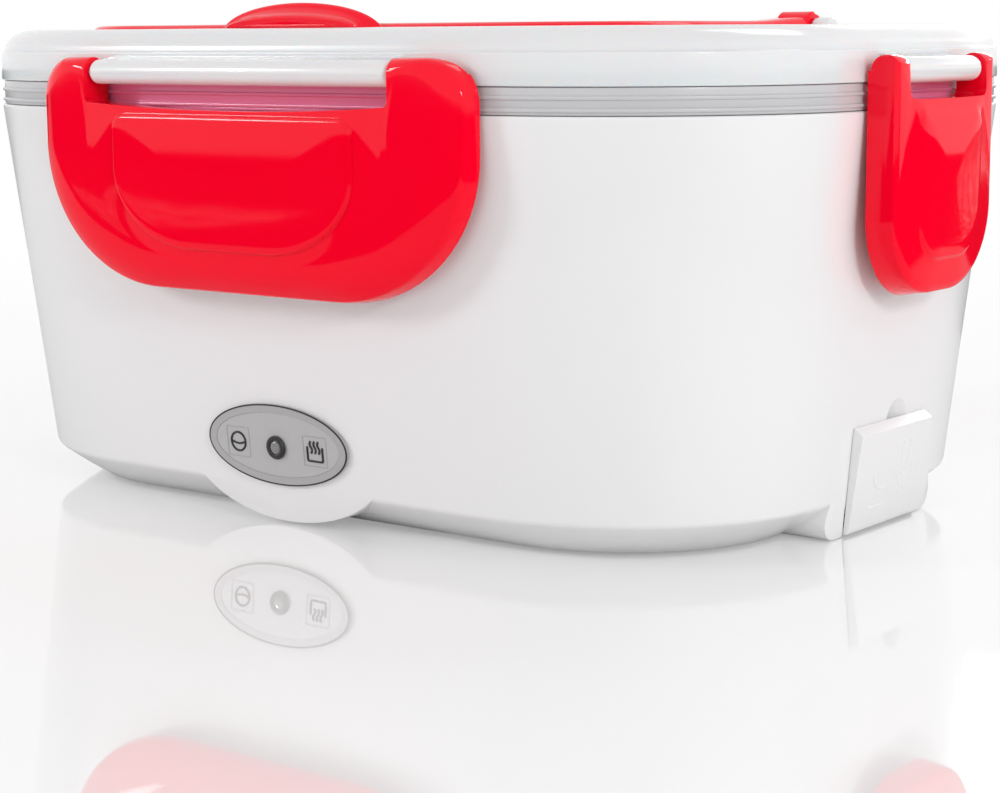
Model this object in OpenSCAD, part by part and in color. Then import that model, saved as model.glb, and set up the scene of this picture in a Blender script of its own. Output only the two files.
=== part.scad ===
// Electric lunch box: a tapered housing with a heated well, a lift-out food container and a
// lift-off lid that four swinging latches hold down. Millimetres, +Z up, front towards -Y,
// origin on the table under the middle of the box.

/* [Housing] */
// Length of the box at the lid seam
box_l = 220; // [214:1:226]
// Width of the box at the lid seam
box_w = 155; // [150:1:160]
// Corner radius at the lid seam, seen from above
corner_r = 50; // [46:1:52]
// How far the long sides bow out in the middle
side_bow = 1.7; // [0.5:0.1:2.5]
// Height of the shoulder where the outer wall ends
shoulder_z = 87.8; // [86:0.1:90]
// Height of the crease where the wall turns under
crease_z = 8.1; // [7:0.1:9]
// How far the wall leans in from shoulder to crease
wall_draft = 7.5; // [6:0.1:8]
// Thickness of the housing wall
wall_t = 2.2; // [1.8:0.1:2.4]

/* [Lid] */
// Height of the lower edge of the lid skirt
skirt_z = 93.3; // [92.8:0.1:93.8]
// Height of the lid rim above that edge
lid_rise = 11.3; // [10.5:0.1:12]
// Depth of the recess in the lid top
recess_deep = 5.6; // [5:0.1:6]

/* [Latches] */
// Width of the two long-side latches
long_latch_w = 118; // [110:1:120]
// Width of the two short-side latches
short_latch_w = 42.6; // [40:0.2:46]
// Height of the latch hinge line
hinge_z = 95.6; // [95:0.1:96.2]
// Hinge line outside the long sides
long_hinge_out = 4.1; // [4:0.1:5]
// Hinge line outside the short sides
short_hinge_out = 4.6; // [4.2:0.1:5]
// How far the latches hang below their hinge line
latch_drop = 45.4; // [42:0.1:48]
// Radius of the hinge bar that shows between the ears
bar_r = 2.6; // [2.4:0.1:2.8]

/* [Handle] */
// Distance between the two arms of the carry handle
handle_span = 154; // [146:1:156]
// How far the grip lies in front of the handle hinge
handle_reach = 66.5; // [64:0.5:67]
// How far the arms and the grip lie below the hinge of the folded handle
handle_drop = 1.2; // [0.8:0.1:1.3]

/* [Front panel] */
// Length of the oval lamp panel
panel_l = 39.6; // [38:0.1:43]
// Height of the oval lamp panel
panel_h = 17.6; // [16:0.1:18.5]
// Height of the lamp above the table
lamp_z = 17.5; // [17:0.1:18.5]

/* [Power inlet] */
// Middle of the inlet along the short side
inlet_y = 3.5; // [0:0.5:5]
// Width of the cover flap
cover_w = 30.5; // [28:0.5:32]
// Height of the top edge of the cover flap
cover_top = 23.1; // [21:0.1:24]

/* [Inside] */
// Height of the floor of the well
well_floor = 25.6; // [25:0.1:27]
// Length of the bowl that sits in the container
tray_l = 74; // [66:1:76]
// Width of the bowl that sits in the container
tray_w = 100; // [90:1:104]

/* [Hidden] */

$fn = 48;
half_l = box_l / 2;
half_w = box_w / 2;
corner_n = 8;      // steps in each corner of a moulded wall
long_n = 3;        // points between corners on a long side
short_n = 1;       // points between corners on a short side
skin = 0.05;       // overlap that fuses two shapes of one piece
rim_top = 95.8;    // top of the liner rim
lid_top = skirt_z + lid_rise;
recess_z = lid_top - recess_deep;
base_in = 19;      // inset of the base outline
base_z = 0.6;      // the housing clears the table, the feet carry it
cover_in = 20.9;   // inset of the base cover
cover_z = [0.8, 2.8];
tilt = atan(wall_draft / (shoulder_z - crease_z));

// Screw places in the base, and the feet between them
screw_at = [78, 20];
foot_at = [56, 41];

// The cover flap turns on this line
cover_hinge_x = 101.4;
cover_hinge_z = 3.8;
cover_pin_r = 1;
cover_knuckle_r = 1.9;
cover_low = 0.6;   // lower edge of the flap
cover_gap = 0.35;  // between the flap and the wall
cover_face_top = 2.4;  // outside of the flap from the wall, near its top edge
cover_face_low = 1.3;  // and near its lower edge
run_gap = 0.05;    // radial clearance of every pin that turns
inlet_z = 13;
block_w = 46;
block_low = 0.2;   // the block under the cover reaches almost to the table
block_in = base_in + 0.7;

// Latches
stub_r = 1.5;
ear_r = 3.1;
long_slot_w = 84.4;
short_slot_w = 33.2;

// Handle
pivot_y = 10;
pivot_z = 103.4;
hub_r = 4;
hub_w = 8;
pivot_pin_r = 1.8;
grip_w = 10.5;
grip_h = 5.6;
bend_r = 24;
lug_gap = 0.4;
lug_w = 4;

// Middle of the side bowl
tray_x = 46;

// The lamp's lens, and its place from the middle of the panel
lens_r = 1.48;
lamp_dx = -0.7;
lamp_dz = -0.5;

white = [0.93, 0.93, 0.94];
milk = [0.95, 0.95, 0.96];
red = [0.88, 0.02, 0.10];
metal = [0.75, 0.76, 0.78];
dark = [0.15, 0.15, 0.16];

// ---------- outlines and lofts ----------

function sign_x(q) = (q == 0 || q == 3) ? 1 : -1;
function sign_y(q) = q < 2 ? 1 : -1;
// One rounded corner, q = 0 to 3 counter-clockwise from +X +Y
function corner(q, hl, hw, r) = [for (i = [0:corner_n]) let(a = 90 * (q + i / corner_n))
    [sign_x(q) * (hl - r) + r * cos(a), sign_y(q) * (hw - r) + r * sin(a)]];
function between(a, b, n) = n == 0 ? [] : [for (i = [1:n]) a + (b - a) * i / (n + 1)];
// A rounded rectangle with extra points along its sides
function plan(hl, hw, r) = let(c = [for (q = [0:3]) corner(q, hl, hw, r)])
    [for (q = [0:3]) each concat(c[q],
        between(c[q][corner_n], c[(q + 1) % 4][0], q % 2 == 0 ? long_n : short_n))];
function bowed(p) = [p[0], p[1] * (1 - side_bow / half_w * pow(p[0] / half_l, 2))];
// The box outline at one height: [z, inset from the seam outline, corner radius]
function box_ring(s) = [for (p = plan(half_l - s[1], half_w - s[1], s[2])) let(b = bowed(p))
    [b[0], b[1], s[0]]];
// Lean of the outer wall, as an inset at height z
function lean(z) = wall_draft * (shoulder_z - z) / (shoulder_z - crease_z);

function quad(a, b, c, d) = [[a, b, c], [a, c, d]];
function skin_faces(m, n, closed) = [for (j = [0:(closed ? m - 1 : m - 2)], i = [0:n - 1])
    let(k = (j + 1) % m, h = (i + 1) % n)
    each quad(j * n + i, k * n + i, k * n + h, j * n + h)];
function middle(r) = let(s = [for (p = r) 1] * r) s / len(r);
// A solid between stacked outlines; fans from a middle point close the first and the last
module loft(rings) {
    n = len(rings[0]);
    m = len(rings);
    polyhedron(points = concat([for (r = rings) each r], [middle(rings[0]), middle(rings[m - 1])]),
        convexity = 6, faces = concat(skin_faces(m, n, false),
            [for (i = [0:n - 1]) [m * n, i, (i + 1) % n]],
            [for (i = [0:n - 1]) [m * n + 1, (m - 1) * n + (i + 1) % n, (m - 1) * n + i]]));
}
// A ring-shaped wall: the last outline joins the first
module loft_loop(rings) {
    polyhedron(points = [for (r = rings) each r], convexity = 6,
        faces = skin_faces(len(rings), len(rings[0]), true));
}
module box_loft(sections) loft([for (s = sections) box_ring(s)]);
module box_loop(sections) loft_loop([for (s = sections) box_ring(s)]);

// Rounded rectangle from exact arcs
module rounded(l, w, r) {
    square([l - 2 * r, w], center = true);
    square([l, w - 2 * r], center = true);
    for (x = [-1, 1], y = [-1, 1]) translate([x * (l / 2 - r), y * (w / 2 - r)]) circle(r = r);
}
function ellipse(rx, ry, n) = [for (i = [0:n - 1]) [rx * cos(360 * i / n), ry * sin(360 * i / n)]];

// Places its child on the sloped wall: local Z points out of the wall, local Y up along it
module on_wall(dist, z, out) translate([0, -(dist - lean(z)) - out * cos(tilt), z - out * sin(tilt)])
    rotate([90 + tilt, 0, 0]) children();
module at_front(z, out) on_wall(half_w, z, out) children();
module at_right(y, z, out) translate([0, y, 0]) rotate([0, 0, 90]) on_wall(half_l, z, out) children();
module four(at) for (x = [-1, 1], y = [-1, 1]) translate([x * at[0], y * at[1], 0]) children();

// ---------- housing ----------

module wall_ring() box_loop([
    [base_z, base_in, 36.8], [3.2, 14.4, 42], [6.9, 9.0, 47.6], [crease_z, lean(crease_z), 48.8],
    [9.6, lean(9.6) - 0.1, 48.9], [50, lean(50), 49.6], [86.8, lean(86.8), corner_r],
    [shoulder_z, 0.6, 49.5],
    [shoulder_z, wall_t + 0.3, 47.6], [50, lean(50) + wall_t, 47.4], [10.2, lean(10.2) + wall_t, 46.6],
    [8.4, 11.2, 45], [4.6, 16.6, 39], [2.6, 20.3, 35.5], [base_z, 20.5, 35.4]]);

// The wall carried on straight down to the base, cut to a patch where something is mounted
module straight_wall(low) intersection() {
    box_loft([[low, lean(low), 48.7], [crease_z, lean(crease_z), 48.8]]);
    children();
}
// Oval lobe under the lamp panel, concentric with it
module lamp_lobe() straight_wall(base_z) translate([0, -half_w + base_in + 0.7, lamp_z])
    rotate([90, 0, 0]) linear_extrude(base_in)
    polygon(ellipse(29, lamp_z - base_z, 48));
// Square block under the inlet cover
module inlet_block() straight_wall(block_low) translate([half_l - block_in, inlet_y - block_w / 2, 0])
    cube([block_in, block_w, crease_z]);
// Pocket for the knuckle of the cover, open below and in front, with holes for the ends of its pin
module cover_pocket() translate([cover_hinge_x, inlet_y, cover_hinge_z]) {
    translate([-cover_knuckle_r - 1.6, -cover_w / 2 - 0.35, -10])
        cube([20, cover_w + 0.7, 10 + cover_knuckle_r + 0.6]);
    rotate([90, 0, 0]) cylinder(r = cover_pin_r + 0.02, h = cover_w + 4, center = true);
}
// Raised ribs that the latch ridges lie under
module catch_rib(w) translate([-w / 2, 0, -1]) rotate([90, 0, 90]) linear_extrude(w)
    polygon([[1.5, -1.6], [0, -1.2], [-1.5, 0.9], [-1.5, 1.9], [0, 2.2], [1.5, 2.8]]);
module long_side_catch() translate([0, -(half_w - lean(70)), 70]) catch_rib(70);
module short_side_catch() rotate([0, 0, 90]) translate([0, -(half_l - lean(70)), 70]) catch_rib(24);

module outer_shell() color(white) difference() {
    union() {
        wall_ring();
        lamp_lobe();
        inlet_block();
        for (a = [0, 180]) rotate([0, 0, a]) {
            long_side_catch();
            short_side_catch();
        }
    }
    // lamp hole
    at_lamp(-8) cylinder(r = lens_r + 0.1, h = 12);
    // window for the power inlet
    at_right(inlet_y, 13, -wall_t - 3) linear_extrude(wall_t + 6) rounded(24, 10.4, 2);
    // scoop for a fingertip over the cover
    at_right(inlet_y + 2, cover_top + 0.6, 5.4) sphere(r = 6.9, $fn = 40);
    cover_pocket();
}

module inner_liner() color(white) difference() {
    union() {
        box_loop([
            [24, 36, 22], [24, 17.6, 33], [27, 14.4, 36.5], [89.6, 8.9, 41.6], [89.6, 3.2, 46.8],
            [shoulder_z + 0.1, 3.2, 46.8], [shoulder_z + 0.1, 1.2, 48.8],
            [88.3, 1.2, 48.8], [88.8, 0.7, 49.3], [89.4, 1.2, 48.8], [90.6, 1.2, 48.8],
            [91.2, 0.7, 49.3], [91.8, 1.2, 48.8], [92.8, 1.2, 48.8],
            [92.8, 2.3, 47.7], [rim_top, 2.6, 47.4], [rim_top, 4.7, 45.4],
            [91.7, 5.0, 45.1], [91.7, 10.6, 40], [28.5, 16, 35], [well_floor, 19.4, 31.5],
            [well_floor, 36, 22]]);
        // bosses that take the base screws
        four(screw_at) translate([0, 0, cover_z[1] + 0.2]) cylinder(r = 3.6, h = 24.4 - cover_z[1] - 0.2);
    }
    four(screw_at) translate([0, 0, cover_z[1] - 1]) cylinder(r = 1.3, h = 14);
}

module cover_outline(inset) polygon([for (p = box_ring([0, cover_in + inset, 35 - inset])) [p[0], p[1]]]);
module base_cover() color(white) difference() {
    union() {
        translate([0, 0, cover_z[0]]) linear_extrude(cover_z[1] - cover_z[0]) cover_outline(0);
        // upstand that keeps the cover centred in the housing
        translate([0, 0, cover_z[1] - skin]) linear_extrude(2.4) difference() {
            cover_outline(1.6);
            cover_outline(3.2);
        }
    }
    four(screw_at) {
        cylinder(r = 1.7, h = 10);
        cylinder(r = 3.2, h = 1.9);
    }
    four(foot_at) translate([0, 0, -1]) cylinder(r = 6.2, h = 2.4);
    // slots that let warm air out from under the heater
    for (i = [-4:4]) translate([i * 8, 0, -1]) linear_extrude(6) rounded(2.6, 26, 1.25);
}
module base_screws() color(metal) four(screw_at) {
    difference() {
        translate([0, 0, 1.1]) cylinder(r = 2.9, h = 0.8);
        translate([0, 0, 0.6]) cylinder(r = 1.3, h = 0.9, $fn = 6);
    }
    translate([0, 0, 1.85]) cylinder(r = 1.28, h = 12);
}
module rubber_feet() color(dark) four(foot_at) {
    cylinder(r = 5.2, h = 0.7);
    translate([0, 0, 0.6]) cylinder(r = 6, h = 0.75);
}

// ---------- heater ----------

module heating_plate() color(metal) {
    // rim that lies on the floor of the well
    translate([0, 0, well_floor + 0.1]) linear_extrude(1.2) rounded(158, 93, 26);
    // body that fills the opening in the floor
    translate([0, 0, 22.4]) linear_extrude(3.6) rounded(144, 79, 20);
    // studs for the clamp
    for (x = [-1, 1]) translate([x * 40, 0, 16]) cylinder(r = 3, h = 6.5);
}
module ptc_heater() color([0.82, 0.80, 0.74]) translate([-30, -13, 16.8]) cube([60, 26, 5.5]);
module insulation_pad() color([0.75, 0.68, 0.5]) translate([0, 0, 15.2]) linear_extrude(1.5) rounded(64, 30, 3);
// Bent strip: two feet on the studs and a raised bridge under the pad
module heater_clamp() color(metal) rotate([90, 0, 0]) translate([0, 0, -7]) linear_extrude(14)
    polygon([[-44, 15.9], [-44, 14.5], [-36, 14.5], [-34, 13.4], [34, 13.4], [36, 14.5], [44, 14.5],
        [44, 15.9], [35.2, 15.9], [33.4, 15.1], [-33.4, 15.1], [-35.2, 15.9]]);
module clamp_screws() color(metal) for (x = [-1, 1]) translate([x * 40, 0, 12.4]) cylinder(r = 2.6, h = 2);
module thermal_fuse() color([0.85, 0.85, 0.8]) translate([-12, 20, 19.6]) rotate([0, 90, 0]) {
    cylinder(r = 2, h = 14);
    translate([0, 0, -2]) cylinder(r = 0.7, h = 18);
}

// Wire swept along round-number points with 8 sides; each ring halves the bend
function cross_dir(p, i) = let(d = heading(p, i), side = cross(d, [0, 0, 1])) side / norm(side);
function wire_ring(p, i, r) = let(u = cross_dir(p, i), w = cross(u, heading(p, i)))
    [for (k = [0:7]) p[i] + r * (cos(45 * k) * u + sin(45 * k) * w)];
module lead(path, r) loft([for (i = [0:len(path) - 1]) wire_ring(path, i, r)]);
module heater_leads() color([0.9, 0.9, 0.85]) {
    lead([[81, -1.5, 15], [70, -1.5, 13], [62, -9, 12], [36, -9, 19], [30.2, -9, 19.5]], 1.1);
    lead([[81, 8.5, 15], [70, 8.5, 13], [60, 22, 12], [20, 22, 19.6], [6, 20, 19.6]], 1.1);
}
module lamp_leads() color([0.3, 0.3, 0.32]) {
    lead([[81, -5, 9], [66, -14, 9], [40, -50, 9], [12, -56.5, 12], [6, -58.4, 14], [6, -60.4, 14]], 0.8);
    lead([[81, 0, 9], [62, -14, 6.5], [36, -46, 6.5], [8, -55, 9], [2, -58.2, 13], [2, -60.3, 13]], 0.8);
}

// ---------- lamp ----------

// The lamp sits a little to the left of the middle of the panel and below it
module at_lamp(out) translate([lamp_dx, 0, 0]) at_front(lamp_z + lamp_dz, out) children();
module lamp_panel() color([0.72, 0.73, 0.74]) difference() {
    at_front(lamp_z, 0.12) linear_extrude(0.7) polygon(ellipse(panel_l / 2, panel_h / 2, 64));
    at_lamp(-1) cylinder(r = lens_r + 0.7, h = 4);
}
module lamp_bezel() color(dark) at_lamp(0.85) rotate_extrude()
    polygon([[1.53, 0], [2.55, 0], [2.55, 0.4], [2.35, 0.75], [1.8, 0.75], [1.53, 0.5]]);
module lamp_lens() color([0.55, 0.57, 0.58]) at_lamp(-1.6) {
    cylinder(r = lens_r, h = 2.8);
    translate([0, 0, 2.8]) intersection() {
        translate([0, 0, -3.2]) sphere(r = 3.6);
        cylinder(r = lens_r - 0.1, h = 2);
    }
}
module lamp_led() color([0.85, 0.2, 0.15]) at_lamp(-8.2) {
    cylinder(r = 2.3, h = 1);
    cylinder(r = 1.9, h = 4.4);
    translate([0, 0, 4.4]) sphere(r = 1.9);
}
module lamp_board() color([0.1, 0.45, 0.2]) at_front(lamp_z, -9.9) linear_extrude(1.6) rounded(22, 12, 1);

// ---------- power inlet ----------

module inlet_frame() at_right(inlet_y, inlet_z, 0) children();
module inlet_socket() color(dark) inlet_frame() difference() {
    union() {
        translate([0, 0, -19]) linear_extrude(18) rounded(23.4, 9.8, 1.8);
        translate([0, 0, -19]) linear_extrude(2) translate([0, -1.4]) rounded(31, 12.6, 2);
    }
    // the mouth that takes the lead
    translate([0, 0, -15]) linear_extrude(20) rounded(19.6, 7, 3);
    for (x = [-1, 1]) {
        translate([x * 5, 0, -20]) cylinder(r = 1.17, h = 8);
        translate([x * 13.6, -1.4, -20]) cylinder(r = 1.2, h = 4);
    }
}
module inlet_pins() color(metal) inlet_frame() for (x = [-1, 1]) translate([x * 5, 0, -21.5]) {
    cylinder(r = 1.15, h = 14.4);
    translate([0, 0, 14.4]) sphere(r = 1.15);
}
module inlet_screws() color(metal) inlet_frame() for (x = [-1, 1]) translate([x * 13.6, -1.4, -20.4]) {
    cylinder(r = 2, h = 1.3);
    cylinder(r = 1.15, h = 4);
}

// Flap over the inlet, turning on a pin near its lower edge; its profile follows the wall
module cover_profile() {
    wall = function(z) half_l - lean(z);
    polygon([[wall(cover_low) + cover_gap, cover_low], [wall(cover_low) + cover_face_low - 0.5, cover_low],
        [wall(cover_low + 0.9) + cover_face_low, cover_low + 0.9],
        [wall(cover_top - 1.5) + cover_face_top, cover_top - 1.5],
        [wall(cover_top) + cover_gap + 0.3, cover_top], [wall(cover_top) + cover_gap, cover_top]]);
}
module inlet_cover() color(white) difference() {
    union() {
        translate([0, inlet_y + cover_w / 2, 0]) rotate([90, 0, 0]) linear_extrude(cover_w) cover_profile();
        translate([cover_hinge_x, inlet_y, cover_hinge_z]) rotate([90, 0, 0])
            cylinder(r = cover_knuckle_r, h = cover_w - 5, center = true);
    }
    translate([cover_hinge_x, inlet_y, cover_hinge_z]) rotate([90, 0, 0])
        cylinder(r = cover_pin_r + run_gap, h = cover_w, center = true);
}
module cover_pin() color(metal) translate([cover_hinge_x, inlet_y, cover_hinge_z]) rotate([90, 0, 0])
    cylinder(r = cover_pin_r, h = cover_w + 3.6, center = true);

// ---------- lid ----------

// Turns its child from the front side (0) to the right (1), the back (2) and the left (3)
module on_side(q) rotate([0, 0, 90 * q])
    translate([0, -(q % 2 == 0 ? half_w + long_hinge_out : half_l + short_hinge_out), hinge_z]) children();
function slot_w(q) = q % 2 == 0 ? long_slot_w : short_slot_w;
function latch_w(q) = q % 2 == 0 ? long_latch_w : short_latch_w;
function hinge_out(q) = q % 2 == 0 ? long_hinge_out : short_hinge_out;
function side_edge(q) = q % 2 == 0 ? side_bow * pow(long_slot_w / 2 / half_l, 2) : 0;

// Bar between the ears, the web that joins it to the skirt, and the stub pins in the ears
module hinge_bar(q) {
    bar_l = slot_w(q) - 1.2;
    stub_l = q % 2 == 0 ? 7.4 : 3.4;
    translate([-bar_l / 2, 0, 0]) rotate([90, 0, 90]) linear_extrude(bar_l) {
        circle(r = bar_r);
        polygon([[0, bar_r - 0.1], [0, 0.4], [hinge_out(q) + 1 + side_edge(q), 0.6],
            [hinge_out(q) + 1 + side_edge(q), 3.4]]);
    }
    translate([-bar_l / 2 - stub_l, 0, 0]) rotate([0, 90, 0]) cylinder(r = stub_r, h = bar_l + 2 * stub_l);
}
// Ear on the lid that carries one end of the handle, with the pin the hub turns on
module handle_lug(s) translate([s * (handle_span / 2 + hub_w / 2 + lug_gap), pivot_y, 0]) {
    rotate([90, 0, 90]) translate([0, 0, s > 0 ? 0 : -lug_w]) linear_extrude(lug_w) {
        translate([0, pivot_z]) circle(r = 3.6);
        translate([-3.6, recess_z - 0.6]) square([7.2, pivot_z - recess_z + 0.6]);
        polygon([[-8, recess_z - 0.6], [8, recess_z - 0.6], [3.6, pivot_z - 1], [-3.6, pivot_z - 1]]);
    }
    translate([s * 0.6, 0, pivot_z]) rotate([0, -s * 90, 0]) cylinder(r = pivot_pin_r, h = hub_w - 0.6);
}
module lid_shell() color(milk) difference() {
    union() {
        box_loft([
            [97.1, 18, 33], [97.1, 7.4, 43], [98.6, 6.8, 43.4], [98.9, 2.4, 47.6], [96.2, 1.8, 48.2],
            [skirt_z, 1.7, 48.3], [skirt_z, 0, corner_r], [99.6, 0.2, 49.8], [99.8, 0.8, 49.3],
            [101.6, 1.3, 48.8], [103.4, 3.1, 47], [104.4, 5.4, 45], [lid_top, 7.4, 43.2],
            [104.3, 10, 41], [103.2, 11.8, 39.4], [99.8, 13.4, 38], [recess_z, 15.6, 36]]);
        for (q = [0:3]) on_side(q) hinge_bar(q);
        for (s = [-1, 1]) handle_lug(s);
        // ring that holds the steam vent
        translate([0, 16, recess_z - 0.4]) cylinder(r = 11, h = 1.6);
    }
    translate([0, 16, recess_z - 4]) cylinder(r = 4, h = 10);
    translate([0, 16, recess_z + 0.5]) cylinder(r = 9.4, h = 4);
}
module lid_gasket() color([0.8, 0.8, 0.78]) box_loop([
    [96.1, 2.9, 47.2], [97.6, 2.7, 47.4], [98.5, 2.9, 47.2], [98.5, 6.0, 44.4], [97.3, 6.4, 44],
    [96.1, 5.6, 44.7]]);
module vent_plug() color(red) translate([0, 16, 0]) {
    translate([0, 0, recess_z - 3.2]) cylinder(r = 3.8, h = 4.2);
    translate([0, 0, recess_z - 3.4]) cylinder(r1 = 3.2, r2 = 3.8, h = 1);
    translate([0, 0, recess_z + 0.8]) cylinder(r = 8.8, h = 1.6);
    // pull tab
    translate([0, 0, recess_z + 2.3]) rotate([90, 0, 0]) translate([0, 0, -1]) linear_extrude(2)
        intersection() {
            circle(r = 5);
            translate([-5, 0]) square([10, 3.2]);
        }
}

// ---------- carry handle ----------

// Middle line of the bail seen from above, hub to hub, and its direction at each point
function bail_path() = let(hx = handle_span / 2, fy = -handle_reach) concat(
    [[-hx, -2], [-hx, -20]],
    [for (i = [0:6]) [-hx + bend_r - bend_r * cos(15 * i), fy + bend_r - bend_r * sin(15 * i)]],
    [for (x = [-40, -20, 0, 20, 40]) [x, fy]],
    [for (i = [6:-1:0]) [hx - bend_r + bend_r * cos(15 * i), fy + bend_r - bend_r * sin(15 * i)]],
    [[hx, -20], [hx, -2]]);
function heading(p, i) = let(a = p[max(i - 1, 0)], b = p[min(i + 1, len(p) - 1)]) (b - a) / norm(b - a);
// The arms are as wide as the hubs and widen towards the grip, and they drop just in front of the hubs
function bail_w(y) = hub_w + (grip_w - hub_w) * min(1, max(0, (-y - 20) / (handle_reach - 20)));
function bail_z(y) = -handle_drop * min(1, max(0, (-y - 2) / 18));
// Rounded section across the path, 12 points
function bail_section(c, d) = [for (k = [0:11]) let(a = 30 * k + 15, u = bail_w(c[1]) / 2 * soft(cos(a)),
    w = grip_h / 2 * soft(sin(a))) [c[0] + d[1] * u, c[1] - d[0] * u, bail_z(c[1]) + w]];
function soft(v) = sign(v) * pow(abs(v), 0.6);
module bail() {
    p = bail_path();
    loft([for (i = [len(p) - 1:-1:0]) bail_section(p[i], heading(p, i))]);
}
// Half-moon lip over the rim of the lid: a low front lobe, a dish and a higher back lobe.
// Each section is [y, z of its flat bottom, half width, z of its top], from the front
lip_sections = [[-76.8, 1.2, 17.2, 3.2], [-76.3, 1.1, 18, 3.8], [-75.7, 1, 18, 3.8], [-74.7, 0.8, 18.4, 4.3],
    [-73.5, 0.5, 19.6, 5.3], [-73.1, 0.2, 21.8, 6.1], [-72.4, -0.2, 22.8, 6.4], [-71.6, -1, 22.8, 6],
    [-70.4, -1.8, 21, 2.6], [-68, -1.8, 18, 0.6]];
module finger_lip() loft([for (i = [len(lip_sections) - 1:-1:0]) let(s = lip_sections[i])
    [for (k = [0:12]) [s[2] * cos(15 * k), s[0], s[1] + (s[3] - s[1]) * sin(15 * k)]]]);
module carry_handle() color(red) translate([0, pivot_y, pivot_z]) difference() {
    union() {
        bail();
        finger_lip();
        for (s = [-1, 1]) translate([s * handle_span / 2 - hub_w / 2, 0, 0]) rotate([0, 90, 0])
            cylinder(r = hub_r, h = hub_w);
    }
    for (s = [-1, 1]) translate([s * handle_span / 2 - hub_w / 2 - 1, 0, 0]) rotate([0, 90, 0])
        cylinder(r = pivot_pin_r + run_gap, h = hub_w + 2);
}

// ---------- latches ----------

// Outline of a latch seen from outside: half width, top, bottom, bottom radii and top radius
function latch_outline(hw, top, low, rx, rz, rt) = concat(
    [for (i = [0:4]) let(a = 90 * i / 4) [hw - rt + rt * cos(a), top - rt + rt * sin(a)]],
    [for (i = [0:4]) let(a = 90 + 90 * i / 4) [-hw + rt + rt * cos(a), top - rt + rt * sin(a)]],
    [for (i = [0:7]) let(a = 180 + 90 * i / 7) [-hw + rx + rx * cos(a), low + rz + rz * sin(a)]],
    [for (i = [0:7]) let(a = 270 + 90 * i / 7) [hw - rx + rx * cos(a), low + rz + rz * sin(a)]]);
// Stack of such outlines along the way out of the wall, -Y; s = [out, hw, top, low, rx, rz, rt]
module latch_loft(sections) rotate([90, 0, 0]) loft([for (s = sections)
    [for (p = latch_outline(s[1], s[2], s[3], s[4], s[5], s[6])) [p[0], p[1], s[0]]]]);

// Latch hanging from its hinge line at the origin. gap is the distance to the wall plane, slot_low the
// lower edge of the slot, skin and hollow are sections with hw and low as insets from the outline.
module latch(w, slot, slot_low, gap, skin_sections, hollow, ridge_w) {
    hw = w / 2;
    low = -latch_drop;
    root = last(hollow)[0] + 0.6;
    difference() {
        intersection() {
            latch_loft([for (s = skin_sections) [s[0], hw - s[1], s[2], low + s[3], s[4], s[5], s[6]]]);
            // above the hinge line only the round of the ears is left
            union() {
                translate([-hw - 5, -20, low - 5]) cube([w + 10, 40, latch_drop + 5]);
                translate([-hw - 5, 0, 0]) rotate([0, 90, 0]) cylinder(r = ear_r, h = w + 10);
            }
        }
        // hollow behind the face
        latch_loft([for (s = hollow) [s[0], hw - s[1], s[2], low + s[3], s[4], s[5], s[6]]]);
        // slot that shows the hinge bar
        translate([-slot / 2, -20, slot_low]) cube([slot, 40, 20]);
        for (s = [-1, 1]) translate([s * (slot / 2 - 1), 0, 0]) rotate([0, s * 90, 0])
            cylinder(r = stub_r + run_gap, h = w > 60 ? 8.2 : 4.4);
    }
    // ridge that lies under the catch rib of the housing
    translate([-ridge_w / 2, 0, -29.6]) rotate([90, 0, 90]) linear_extrude(ridge_w)
        polygon([[-root, 3.4], [-root, -3], [gap - 0.2, -0.9], [gap - 0.2, 0.9]]);
}
function last(list) = list[len(list) - 1];
// Sections are [out, side inset, top, bottom inset, side radius, bottom radius, top radius]
long_skin = [[-3.6, -0.6, ear_r, -0.2, 34, 30, 5.5], [-0.3, 0.7, ear_r, 0.2, 33.4, 29.8, 5.5],
    [0.5, 1.8, ear_r, 1, 32.6, 29.2, 5], [1.7, 4.6, ear_r, 2.6, 30.6, 27.6, 4.4],
    [2.6, 9, ear_r, 4.4, 28, 25, 3.6], [3.1, 16, ear_r, 6.6, 25, 21, 3], [3.3, 25.6, -8.6, 9, 22.6, 17, 3],
    [4, 26.1, -9.2, 9.5, 22, 16.4, 2.6], [4.4, 30, -12, 13, 18.6, 13.4, 2], [4.6, 38, -17, 19, 6, 5, 2]];
long_hollow = [[-6, 1.8, -9.4, 2, 31.6, 28, 2], [-1.7, 3.2, -9.4, 2.8, 30.6, 27, 2],
    [0.6, 11, -9.9, 6.4, 25, 22, 2], [1.4, 27.4, -10.6, 10.6, 21, 15, 2]];
short_skin = [[-3.7, 0, ear_r, 0, 17, 17, 0.8], [2, 0.3, ear_r, 1, 16.6, 16.6, 0.8],
    [2.7, 1, ear_r, 2.4, 15.8, 15.8, 0.8], [3.5, 7.9, -7.2, 7.6, 9.6, 9.6, 2.6],
    [4.2, 8.5, -9.3, 8.1, 9, 9, 2.4], [4.7, 12, -12.4, 12, 6, 6, 2]];
short_hollow = [[-6, 1.7, -9.4, 1.8, 15, 15, 1.2], [0.7, 2.7, -9.4, 4, 13.6, 13.6, 1.2],
    [1.5, 9.6, -10.6, 9.4, 8, 8, 2]];
module long_latch(q) color(red) on_side(q)
    latch(long_latch_w, long_slot_w, -7.7, long_hinge_out, long_skin, long_hollow, 66);
module short_latch(q) color(red) on_side(q)
    latch(short_latch_w, short_slot_w, -5.7, short_hinge_out, short_skin, short_hollow, 22);
module front_latch() long_latch(0);
module right_latch() short_latch(1);
module back_latch() long_latch(2);
module left_latch() short_latch(3);

// ---------- food ----------

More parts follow.
